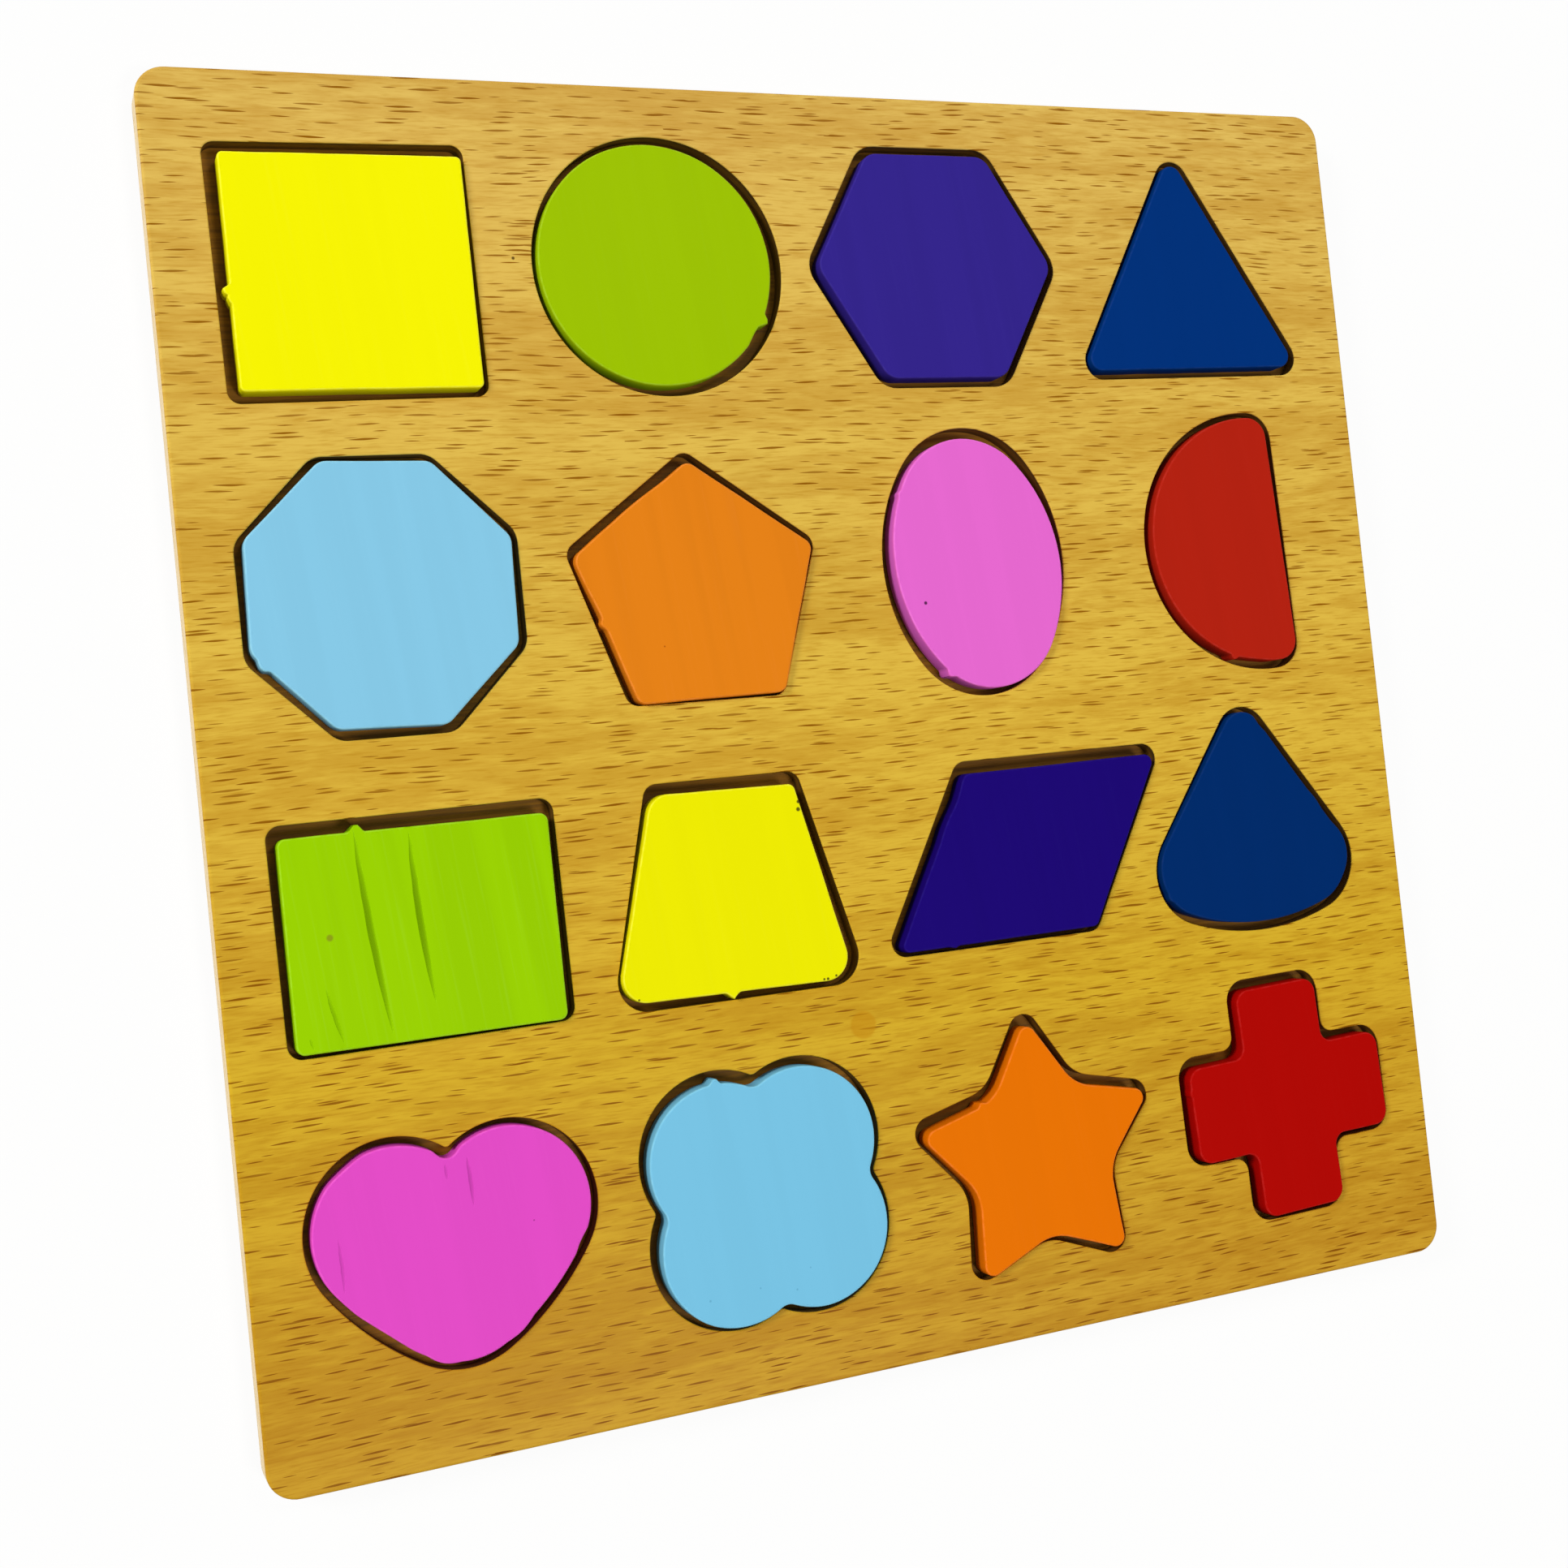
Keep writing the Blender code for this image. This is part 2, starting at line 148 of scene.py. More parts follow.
def makeFloor():
    # Matt pale paper, smooth and without pattern, that glows a little so that it looks white
    mesh = bmesh.new()
    bmesh.ops.create_grid(mesh, x_segments=1, y_segments=1, size=studio["floorSize"])
    bmesh.ops.translate(mesh, vec=(0.0, 0.0, -studio["floorDrop"]), verts=mesh.verts)
    data = bpy.data.meshes.new("studioFloor")
    mesh.to_mesh(data)
    mesh.free()
    floor = newObject("studioFloor", data)
    material = bpy.data.materials.new("palePaperFloor")
    material.use_nodes = True
    tree = material.node_tree
    tree.nodes.clear()
    share = addNode(
        tree, "ShaderNodeMath", {0: seenDirectly(tree), 1: studio["floorGlow"]}, operation="MULTIPLY"
    )
    paper = addNode(tree, "ShaderNodeBsdfDiffuse", {"Color": hexColour(studio["floorColour"])})
    white = addNode(tree, "ShaderNodeEmission", {"Color": (1, 1, 1, 1), "Strength": 1.0})
    mixed = addNode(tree, "ShaderNodeMixShader", {0: share, 1: paper, 2: white})
    addNode(tree, "ShaderNodeOutputMaterial", {"Surface": mixed})
    data.materials.append(material)


# Outlines. Each is a belt stretched round discs (x, y, radius), counter-clockwise. A disc with a
# negative radius lies outside the belt and makes a hollow.


def beltArcs(discs):
    if len(discs) == 1:
        return [(*discs[0], 0.0, math.tau)]
    leaving = []
    for (x, y, radius), (nextX, nextY, nextRadius) in zip(discs, discs[1:] + discs[:1]):
        ratio = (radius - nextRadius) / math.hypot(nextX - x, nextY - y)
        leaving.append(math.atan2(nextY - y, nextX - x) - math.acos(max(-1.0, min(1.0, ratio))))
    arcs = []
    for i, (x, y, radius) in enumerate(discs):
        sweep = (leaving[i] - leaving[i - 1]) % math.tau
        arcs.append((x, y, radius, leaving[i - 1], sweep - math.tau if radius < 0 else sweep))
    return arcs


def walkRim(discs, spacing):
    # points along the belt with their outward normals: (x, y, normalX, normalY)
    turnStep, closest = 0.15, 0.01  # radians from point to point on an arc, least gap between two
    arcs = beltArcs(discs)
    rim = []
    for i, (x, y, radius, start, sweep) in enumerate(arcs):
        steps = max(2, math.ceil(abs(sweep * radius) / spacing), math.ceil(abs(sweep) / turnStep))
        for k in range(steps + 1):
            nx, ny = math.cos(start + sweep * k / steps), math.sin(start + sweep * k / steps)
            if not rim or math.dist((x + radius * nx, y + radius * ny), rim[-1][:2]) > closest:
                rim.append((x + radius * nx, y + radius * ny, nx, ny))
        toX, toY, toRadius, toStart, _ = arcs[(i + 1) % len(arcs)]
        endX, endY = toX + toRadius * math.cos(toStart), toY + toRadius * math.sin(toStart)
        fromX, fromY, nx, ny = rim[-1]
        runs = math.ceil(math.dist((endX, endY), (fromX, fromY)) / spacing)
        for k in range(1, runs):
            x, y = fromX + (endX - fromX) * k / runs, fromY + (endY - fromY) * k / runs
            rim.append((x, y, nx, ny))
    while math.dist(rim[0][:2], rim[-1][:2]) < closest:
        rim.pop()
    return rim


def filleted(corners):
    # a polygon's corners (x, y, radius) turned into the discs that round them
    discs = []
    for i, (x, y, radius) in enumerate(corners):
        beforeX, beforeY = corners[i - 1][:2]
        afterX, afterY = corners[(i + 1) % len(corners)][:2]
        arriving = math.atan2(y - beforeY, x - beforeX)
        turn = (math.atan2(afterY - y, afterX - x) - arriving + math.pi) % math.tau - math.pi
        radius = math.copysign(radius, turn)
        inwards = arriving + turn / 2 + math.pi / 2
        away = radius / math.cos(turn / 2)
        discs.append((x + away * math.cos(inwards), y + away * math.sin(inwards), radius))
    return discs


def touching(first, second, radius):
    # the disc of this radius that touches both, where the belt runs from the first to the second
    gapX, gapY = second[0] - first[0], second[1] - first[1]
    apart = math.hypot(gapX, gapY)
    toFirst, toSecond = radius - first[2], radius - second[2]
    along = (toFirst**2 - toSecond**2 + apart**2) / (2 * apart)
    aside = math.copysign(math.sqrt(toFirst**2 - along**2), radius)
    return (
        first[0] + (along * gapX - aside * gapY) / apart,
        first[1] + (along * gapY + aside * gapX) / apart,
        radius,
    )


def boxOutline(width, height, corner):
    x, y = width / 2, height / 2
    return filleted([(-x, -y, corner), (x, -y, corner), (x, y, corner), (-x, y, corner)])


def regularOutline(sides, flatsRadius, corner, firstAngle):
    radius = flatsRadius / math.cos(math.pi / sides)
    angles = [math.radians(firstAngle + 360.0 * i / sides) for i in range(sides)]
    return filleted([(radius * math.cos(a), radius * math.sin(a), corner) for a in angles])


def ovalOutline(width, length, endRadius):
    half, end = width / 2, length / 2 - endRadius
    sideRadius = (half**2 + end**2 - endRadius**2) / (half - endRadius) / 2
    aside = sideRadius - half
    return [
        (-aside, 0.0, sideRadius),
        (0.0, end, endRadius),
        (aside, 0.0, sideRadius),
        (0.0, -end, endRadius),
    ]


def halfMoonOutline(radius, chord, corner):
    x = chord - corner
    y = math.sqrt((radius - corner) ** 2 - x**2)
    return [(x, y, corner), (0.0, 0.0, radius), (x, -y, corner)]


def fanOutline(radius, angle, tipCorner, arcCorner):
    half = math.radians(angle) / 2
    out = radius - arcCorner
    cornerAngle = half - math.asin(arcCorner / out)
    x, y = out * math.sin(cornerAngle), -out * math.cos(cornerAngle)
    tip = (0.0, -tipCorner / math.sin(half), tipCorner)
    return [tip, (-x, y, arcCorner), (0.0, 0.0, radius), (x, y, arcCorner)]


def heartOutline(lobeRadius, lobeSpacing, depth, tipRadius, flankRadius, notchRadius):
    left, right = (-lobeSpacing / 2, 0.0, lobeRadius), (lobeSpacing / 2, 0.0, lobeRadius)
    tip = (0.0, tipRadius - depth, tipRadius)
    return [
        tip,
        touching(tip, right, flankRadius),
        right,
        touching(right, left, -notchRadius),
        left,
        touching(left, tip, flankRadius),
    ]


def cloverOutline(lobeRadius, lobeSpacing, notchRadius):
    h = lobeSpacing / 2
    lobes = [(h, h, lobeRadius), (-h, h, lobeRadius), (-h, -h, lobeRadius), (h, -h, lobeRadius)]
    discs = []
    for lobe, following in zip(lobes, lobes[1:] + lobes[:1]):
        discs += [lobe, touching(lobe, following, -notchRadius)]
    return discs


def starOutline(radius, innerRadius, tipCorner, innerCorner):
    corners = []
    for i in range(5):
        tip, dip = math.radians(90 + 72 * i), math.radians(126 + 72 * i)
        corners.append((radius * math.cos(tip), radius * math.sin(tip), tipCorner))
        corners.append((innerRadius * math.cos(dip), innerRadius * math.sin(dip), innerCorner))
    return filleted(corners)


def crossOutline(width, arm, corner, innerCorner):
    out, half = width / 2, arm / 2
    quarter = [(out, -half, corner), (out, half, corner), (half, half, innerCorner)]
    corners = []
    for turn in range(4):
        c, s = round(math.cos(turn * math.pi / 2)), round(math.sin(turn * math.pi / 2))
        corners += [(c * x - s * y, s * x + c * y, radius) for x, y, radius in quarter]
    return filleted(corners)


# The sixteen shapes. outline is what the cut-out was drawn for, and sawn is the shape's own rim
# where that came out differently. cutOut and lies are (x, y, turn in degrees) of the cut-out and
# of the shape in it. grain is how far the wood's fibre shows through the paint, from 0 to 1. The
# rest is given on the shape: tabs are (x, y, half width, height), what is left on the rim of the
# tabs that held the blank, and sanded is the same where sanding took wood off (below 0) or left
# some on. grooves are (x, y, x, y, half width, depth, bow) in the face, and chips are (x, y,
# radius, colour).

shapes = {
    "square": {
        "outline": boxOutline(39.6, 39.6, 0.8),
        "sawn": boxOutline(39.3, 38.6, 0.9),
        "cutOut": (-81.85, 79.85, 0.8),
        "lies": (-81.20, 79.60, 0.29),
        "slot": "yellow_paint",
        "paint": "F8F602",
        "grain": 0.15,
        "tabs": [(-19.7, -3.0, 0.8, 1.15), (-19.7, -4.3, 0.7, 0.5)],
    },
    "circle": {
        "outline": [(0.0, 0.0, 21.25)],
        "sawn": [(0.0, 0.0, 20.95)],
        "cutOut": (-28.45, 81.15, 0.0),
        "lies": (-29.30, 81.08, 0.0),
        "slot": "lime_paint",
        "paint": "9DC402",
        "grain": 0.2,
        "tabs": [(18.7, -9.7, 1.1, 1.0)],
        "sanded": [(17.4, -12.2, 2.0, -0.3)],
    },
    "hexagon": {
        "outline": regularOutline(6, 20.75, 3.5, 0.0),
        "sawn": regularOutline(6, 20.5, 3.4, 0.0),
        "cutOut": (24.45, 81.40, 0.0),
        "lies": (24.45, 81.35, 0.0),
        "slot": "purple_paint",
        "paint": "342590",
        "grain": 0.45,
    },
    "triangle": {
        "outline": regularOutline(3, 13.856, 2.3, 90.0),
        "cutOut": (77.55, 81.45, 0.5),
        "lies": (76.86, 81.60, 0.41),
        "slot": "navy_paint",
        "paint": "01327D",
        "grain": 0.2,
    },
    "octagon": {
        "outline": regularOutline(8, 21.6, 2.8, 22.5),
        "cutOut": (-81.15, 26.85, 0.1),
        "lies": (-81.28, 27.08, -1.52),
        "slot": "sky_paint",
        "paint": "87CBED",
        "grain": 0.25,
        "tabs": [(-19.6, -10.95, 1.2, 0.75)],
    },
    "pentagon": {
        "outline": regularOutline(5, 18.1, 1.2, 90.0),
        "sawn": regularOutline(5, 18.35, 1.9, 90.0),
        "cutOut": (-27.65, 27.25, 0.0),
        "lies": (-27.22, 26.45, 0.81),
        "slot": "orange_paint",
        "paint": "E78318",
        "grain": 0.4,
        "tabs": [(-17.7, -6.2, 0.9, 0.65)],
        "sanded": [(-21.3, 4.7, 7.0, 0.45), (-12.0, 12.2, 7.0, 0.5)],
        "chips": [(-7.8, -10.8, 0.16, "B05A10")],
    },
    "oval": {
        "outline": ovalOutline(34.0, 46.3, 14.0),
        "sawn": ovalOutline(33.5, 45.7, 13.9),
        "cutOut": (26.25, 27.35, 0.2),
        "lies": (26.65, 26.90, 7.19),
        "slot": "pink_paint",
        "paint": "E86AD6",
        "grain": 0.2,
        "tabs": [(-10.2, -18.5, 0.9, 0.75), (-12.9, 15.0, 0.6, 0.35)],
        "chips": [(-12.4, -5.2, 0.32, "2A1230")],
    },
    "half_moon": {
        "outline": halfMoonOutline(23.6, 5.2, 3.9),
        "cutOut": (78.35, 28.25, 1.5),
        "lies": (78.36, 28.21, 2.70),
        "slot": "red_paint",
        "paint": "B42212",
        "grain": 0.2,
        "tabs": [(0.0, -21.8, 0.8, 0.6)],
        "sanded": [(4.5, -22.8, 3.2, -0.25)],
    },
    "rectangle": {
        "outline": boxOutline(44.1, 34.3, 1.1),
        "cutOut": (-79.95, -26.75, 0.6),
        "sawn": boxOutline(43.9, 34.1, 1.4),
        "lies": (-79.95, -27.65, 0.19),
        "slot": "lime_paint",
        "paint": "9BD401",
        "grain": 0.7,
        "tabs": [(-9.5, 17.15, 1.1, 1.15)],
        "grooves": [
            (-9.9, 17.3, -6.8, -15.5, 0.6, 0.24, -0.3),
            (-1.2, 16.2, 0.5, -11.5, 0.6, 0.24, -0.35),
            (-16.6, -7.0, -14.5, -16.0, 0.34, 0.12, -0.1),
            (-19.8, -14.5, -19.3, -16.2, 0.24, 0.07, 0.0),
        ],
        "chips": [(-15.2, 0.8, 0.55, "8C9A1A")],
    },
    "trapezoid": {
        "outline": filleted(
            [(-21.85, -17.65, 3.9), (21.85, -17.65, 3.9), (12.85, 17.65, 1.2), (-12.85, 17.65, 1.2)]
        ),
        "sawn": filleted(
            [(-21.75, -17.35, 4.2), (21.6, -17.35, 4.2), (13.15, 17.2, 1.3), (-12.85, 17.2, 4.0)]
        ),
        "cutOut": (-26.65, -26.45, 0.1),
        "lies": (-27.42, -26.82, -0.72),
        "slot": "yellow_paint",
        "paint": "F0EE01",
        "grain": 0.15,
        "tabs": [(-1.2, -17.3, 1.05, 1.05)],
        "chips": [
            (13.75, 14.1, 0.32, "4A4410"),
            (13.6, 12.8, 0.38, "3A3410"),
            (15.6, -16.9, 0.22, "4A4410"),
            (16.3, -16.9, 0.26, "3A3410"),
            (17.9, -16.5, 0.22, "4A4410"),
            (-18.0, -16.6, 0.2, "6A6210"),
        ],
    },
    "parallelogram": {
        "outline": filleted(
            [(-28.7, -15.4, 1.5), (11.8, -15.4, 1.5), (28.7, 15.4, 1.5), (-11.8, 15.4, 1.5)]
        ),
        "sawn": filleted(
            [(-28.3, -15.15, 1.2), (11.9, -15.15, 1.5), (28.5, 15.15, 1.5), (-11.6, 15.15, 1.5)]
        ),
        "cutOut": (30.85, -25.35, 0.2),
        "lies": (31.05, -26.00, 0.55),
        "slot": "violet_paint",
        "paint": "1D0877",
        "grain": 0.35,
        "tabs": [(-17.5, -15.2, 0.8, 0.3)],
        "sanded": [(-14.2, 11.0, 2.4, -0.3), (-17.0, 6.0, 2.2, 0.15)],
    },
    "fan": {
        "outline": fanOutline(43.3, 71.0, 4.5, 9.0),
        "cutOut": (79.65, -24.65, -0.1),
        "lies": (78.91, -24.29, -0.71),
        "slot": "navy_paint",
        "paint": "012C6D",
        "grain": 0.2,
        "tabs": [(-19.5, -14.0, 0.9, 0.3)],
        "sanded": [(4.5, 18.0, 1.6, -0.3), (16.0, 3.0, 2.0, 0.25), (21.0, -7.5, 4.5, 0.5)],
    },
    "heart": {
        "outline": heartOutline(13.4, 18.5, 22.5, 12.4, 46.0, 2.1),
        "cutOut": (-79.65, -78.55, 0.7),
        "lies": (-79.70, -78.45, 1.48),
        "slot": "pink_paint",
        "paint": "E54DCD",
        "grain": 0.25,
        "sanded": [
            (0.0, 15.4, 1.8, -0.45),
            (-14.5, -12.5, 4.5, -0.35),
            (-4.5, -17.4, 2.2, 0.35),
            (20.5, -3.0, 1.8, -0.3),
            (9.0, -15.5, 2.4, 0.4),
            (-17.0, 16.5, 3.0, -0.3),
            (0.5, -22.0, 2.4, -0.25),
        ],
        "grooves": [
            (3.1, 14.3, 3.3, 6.0, 0.38, 0.12, 0.1),
            (-0.5, 13.6, -0.4, 11.0, 0.3, 0.08, 0.0),
            (-18.5, 5.2, -18.5, -3.5, 0.32, 0.09, 0.1),
        ],
        "chips": [(12.7, 2.0, 0.13, "9A2F88")],
    },
    "clover": {
        "outline": cloverOutline(13.2, 14.8, 2.6),
        "cutOut": (-26.15, -78.45, 1.5),
        "lies": (-25.80, -79.05, 3.22),
        "slot": "sky_paint",
        "paint": "79C6EB",
        "grain": 0.2,
        "tabs": [(-6.9, 20.6, 0.9, 0.85)],
        "chips": [
            (-13.6, -14.8, 0.2, "66AED2"),
            (-4.5, -14.8, 0.16, "66AED2"),
            (2.0, -16.6, 0.18, "66AED2"),
            (5.0, -13.5, 0.14, "66AED2"),
        ],
    },
    "star": {
        "outline": starOutline(25.05, 14.2, 1.7, 8.4),
        "sawn": starOutline(24.85, 14.15, 1.8, 8.4),
        "cutOut": (26.40, -77.85, 0.9),
        "lies": (26.78, -78.53, 1.91),
        "slot": "orange_paint",
        "paint": "EB7502",
        "grain": 0.15,
        "tabs": [(-10.9, 9.3, 0.8, 0.95)],
    },
    "cross": {
        "outline": crossOutline(43.0, 17.8, 2.7, 3.8),
        "sawn": crossOutline(43.0, 17.9, 2.7, 2.2),
        "cutOut": (80.35, -77.55, 1.3),
        "lies": (80.85, -78.05, 2.31),
        "slot": "red_paint",
        "paint": "B10804",
        "grain": 0.15,
        "tabs": [(-21.5, 4.5, 0.6, 0.3)],
    },
}


def placed(where, x, y):
    # a point given on a shape, where it lies on the board
    x0, y0, turn = where
    c, s = math.cos(math.radians(turn)), math.sin(math.radians(turn))
    return x0 + c * x - s * y, y0 + s * x + c * y


def placedRim(shape, where, spacing, out=0.0):
    # the rim in the board's own place, from the middle of the outline's width and height
    own = "sawn" if where == "lies" and "sawn" in shape else "outline"
    rim = walkRim(shape[own], spacing)
    middleX = (min(p[0] for p in rim) + max(p[0] for p in rim)) / 2
    middleY = (min(p[1] for p in rim) + max(p[1] for p in rim)) / 2
    points = []
    for x, y, nx, ny in rim:
        point = placed(shape[where], x + out * nx - middleX, y + out * ny - middleY)
        points.append((*point, *placed((0.0, 0.0, shape[where][2]), nx, ny)))
    return points


def startMaterial(name):
    # an empty material with its shader, and the object's own place in millimetres
    material = bpy.data.materials.new(name)
    material.use_nodes = True
    tree = material.node_tree
    tree.nodes.clear()
    shader = addNode(tree, "ShaderNodeBsdfPrincipled")
    addNode(tree, "ShaderNodeOutputMaterial", {"Surface": shader.outputs["BSDF"]})
    place = addNode(tree, "ShaderNodeTexCoord")
    inMm = addNode(
        tree, "ShaderNodeVectorMath", {0: place.outputs["Object"], "Scale": 1000.0}, operation="SCALE"
    )
    return material, tree, shader, inMm.outputs["Vector"]


def finishMaterial(tree, shader, tone, texture, relief, look):
    # its colour, a roughness that follows a texture, a fine relief and how much it shines
    tree.links.new(tone.outputs[2], shader.inputs["Base Color"])
    rough = addNode(
        tree,
        "ShaderNodeMath",
        {0: texture, 1: look["patchy"], 2: look["roughness"] - look["patchy"] / 2},
        operation="MULTIPLY_ADD",
    )
    tree.links.new(rough.outputs[0], shader.inputs["Roughness"])
    bump = addNode(
        tree,
        "ShaderNodeBump",
        {"Height": relief, "Strength": look["bump"], "Distance": look["relief"] * mm},
    )
    tree.links.new(bump.outputs[0], shader.inputs["Normal"])
    shader.inputs["Specular IOR Level"].default_value = look["gloss"]


def addSpots(tree, tone, point, spots):
    # small round marks (x, y, radius, colour) with soft edges, laid over the mix node tone
    flat = addNode(tree, "ShaderNodeVectorMath", {0: point, 1: (1.0, 1.0, 0.0)}, operation="MULTIPLY")
    for x, y, radius, colour in spots:
        away = addNode(tree, "ShaderNodeVectorMath", {0: flat, 1: (x, y, 0.0)}, operation="DISTANCE")
        spot = addNode(
            tree,
            "ShaderNodeMapRange",
            {
                "Value": away.outputs["Value"],
                "From Min": max(radius * 0.6, radius - 0.3),
                "From Max": min(radius * 1.3, radius + 0.3),
                "To Min": 0.9 if radius < 1 else 0.6,
                "To Max": 0.0,
            },
            interpolation_type="SMOOTHSTEP",
        )
        tone = addNode(
            tree, "ShaderNodeMix", {0: spot, 6: tone.outputs[2], 7: hexColour(colour)}, data_type="RGBA"
        )
    return tone


# Board: backing board and the panel glued on it

board = {
    "side": 225.0,
    "corner": 5.0,
    "floorZ": 2.7,  # face of the backing board, which is the floor of each recess
    "faceZ": 6.0,
    "rimRounding": 0.5,
    "easing": 0.2,  # round each cut-out
    "play": 1.3,  # between a centred shape and its cut-out
    "spacing": 0.6,  # of the points round a cut-out
    "rimSpacing": 3.0,
    "lip": 0.08,  # narrow flat ring inside each rounded edge
    "seam": 0.004,  # between the panel and the backing board
    "sharpAngle": 50.0,  # degrees; a sharper bend stays an edge
}

beech = {
    "pale": "E9C462",
    "deep": "D7AA4B",
    "fleck": "965E00",
    "line": "C08A1C",
    # painted shade and sheen: the print is darkened and deepened towards the lower edge as the light
    # falls off, and kept palest at the top where the sheen lies: (place up the board, tint)
    "paintedShadeTints": [(-108.0, "E1D07E"), (-50.0, "ECE67A"), (0.0, "F6F4B6"), (112.0, "F7F7F9")],
    "fleckCell": (13.0, 0.88, 1.0),
    "flecksKept": 0.95,  # share of the cells that hold a fleck
    "fleckReach": (0.09, 0.24),  # half a fleck's length and thickness, in shares of its cell
    "fleckDepth": 0.7,  # how dark the faintest fleck is, beside 1 for the darkest
    # patterns of tone: their size along a row of shapes, up the board and through it
    "cloud": (9.0, 1.3, 10.0),
    "band": (95.0, 8.0, 10.0),
    "fibre": (5.0, 0.4, 0.6),
    "lineDepth": 0.42,  # how far the fibre's lines darken the wood
    "bend": (45.0, 20.0, 20.0),
    "drift": 2.5,  # how far the grain wanders off its line
    "wobble": (7.0, 4.0, 4.0),
    "ripple": 0.25,  # how far a fleck is bent
    "roughness": 0.36,
    "patchy": 0.12,  # how far the roughness varies
    "gloss": 0.035,
    "bump": 0.25,
    "relief": 0.02,  # height of the bump
    "fleckPit": 0.6,  # how deep a fleck lies, beside 1 for the fibre
    "spots": [(-54.2, 82.3, 0.28, "4A3208"), (-5.2, -52.8, 2.4, "C48A0A")],
}


def wanderingGrain(tree, point):
    # the place on the board, bent up and down so that the grain doesn't run dead straight
    grain = point
    for size, reach in (("bend", "drift"), ("wobble", "ripple")):
        cell = addNode(tree, "ShaderNodeVectorMath", {0: point, 1: beech[size]}, operation="DIVIDE")
        wander = addNode(tree, "ShaderNodeTexNoise", {"Vector": cell, "Scale": 1.0, "Detail": 1.0})
        aside = addNode(
            tree,
            "ShaderNodeVectorMath",
            {0: wander.outputs["Color"], 1: (0.0, beech[reach], 0.0)},
            operation="MULTIPLY",
        )
        grain = addNode(tree, "ShaderNodeVectorMath", {0: grain, 1: aside}, operation="ADD")
    return grain


def rayFlecks(tree, grain):
    # 1 in the short level flecks, of which each has its own length and depth, and 0 elsewhere
    cell = addNode(tree, "ShaderNodeVectorMath", {0: grain, 1: beech["fleckCell"]}, operation="DIVIDE")
    fleckCells = addNode(
        tree,
        "ShaderNodeTexVoronoi",
        {"Vector": cell, "Scale": 1.0, "Exponent": 1.4},
        voronoi_dimensions="2D",
        distance="MINKOWSKI",
    )
    chance = addNode(tree, "ShaderNodeSeparateColor", {"Color": fleckCells.outputs["Color"]})
    kept = addNode(
        tree,
        "ShaderNodeMath",
        {0: chance.outputs["Red"], 1: beech["flecksKept"]},
        operation="LESS_THAN",
    )
    reach = addNode(
        tree,
        "ShaderNodeMapRange",
        {
            "Value": chance.outputs["Green"],
            "To Min": beech["fleckReach"][0],
            "To Max": beech["fleckReach"][1],
        },
    )
    body = addNode(
        tree, "ShaderNodeMath", {0: reach, 1: fleckCells.outputs["Distance"]}, operation="SUBTRACT"
    )
    shown = addNode(
        tree, "ShaderNodeMapRange", {"Value": body, "From Max": 0.03}, interpolation_type="SMOOTHSTEP"
    )
    depth = addNode(
        tree, "ShaderNodeMapRange", {"Value": chance.outputs["Blue"], "To Min": beech["fleckDepth"]}
    )
    present = addNode(tree, "ShaderNodeMath", {0: depth, 1: kept}, operation="MULTIPLY")
    return addNode(tree, "ShaderNodeMath", {0: shown, 1: present}, operation="MULTIPLY")


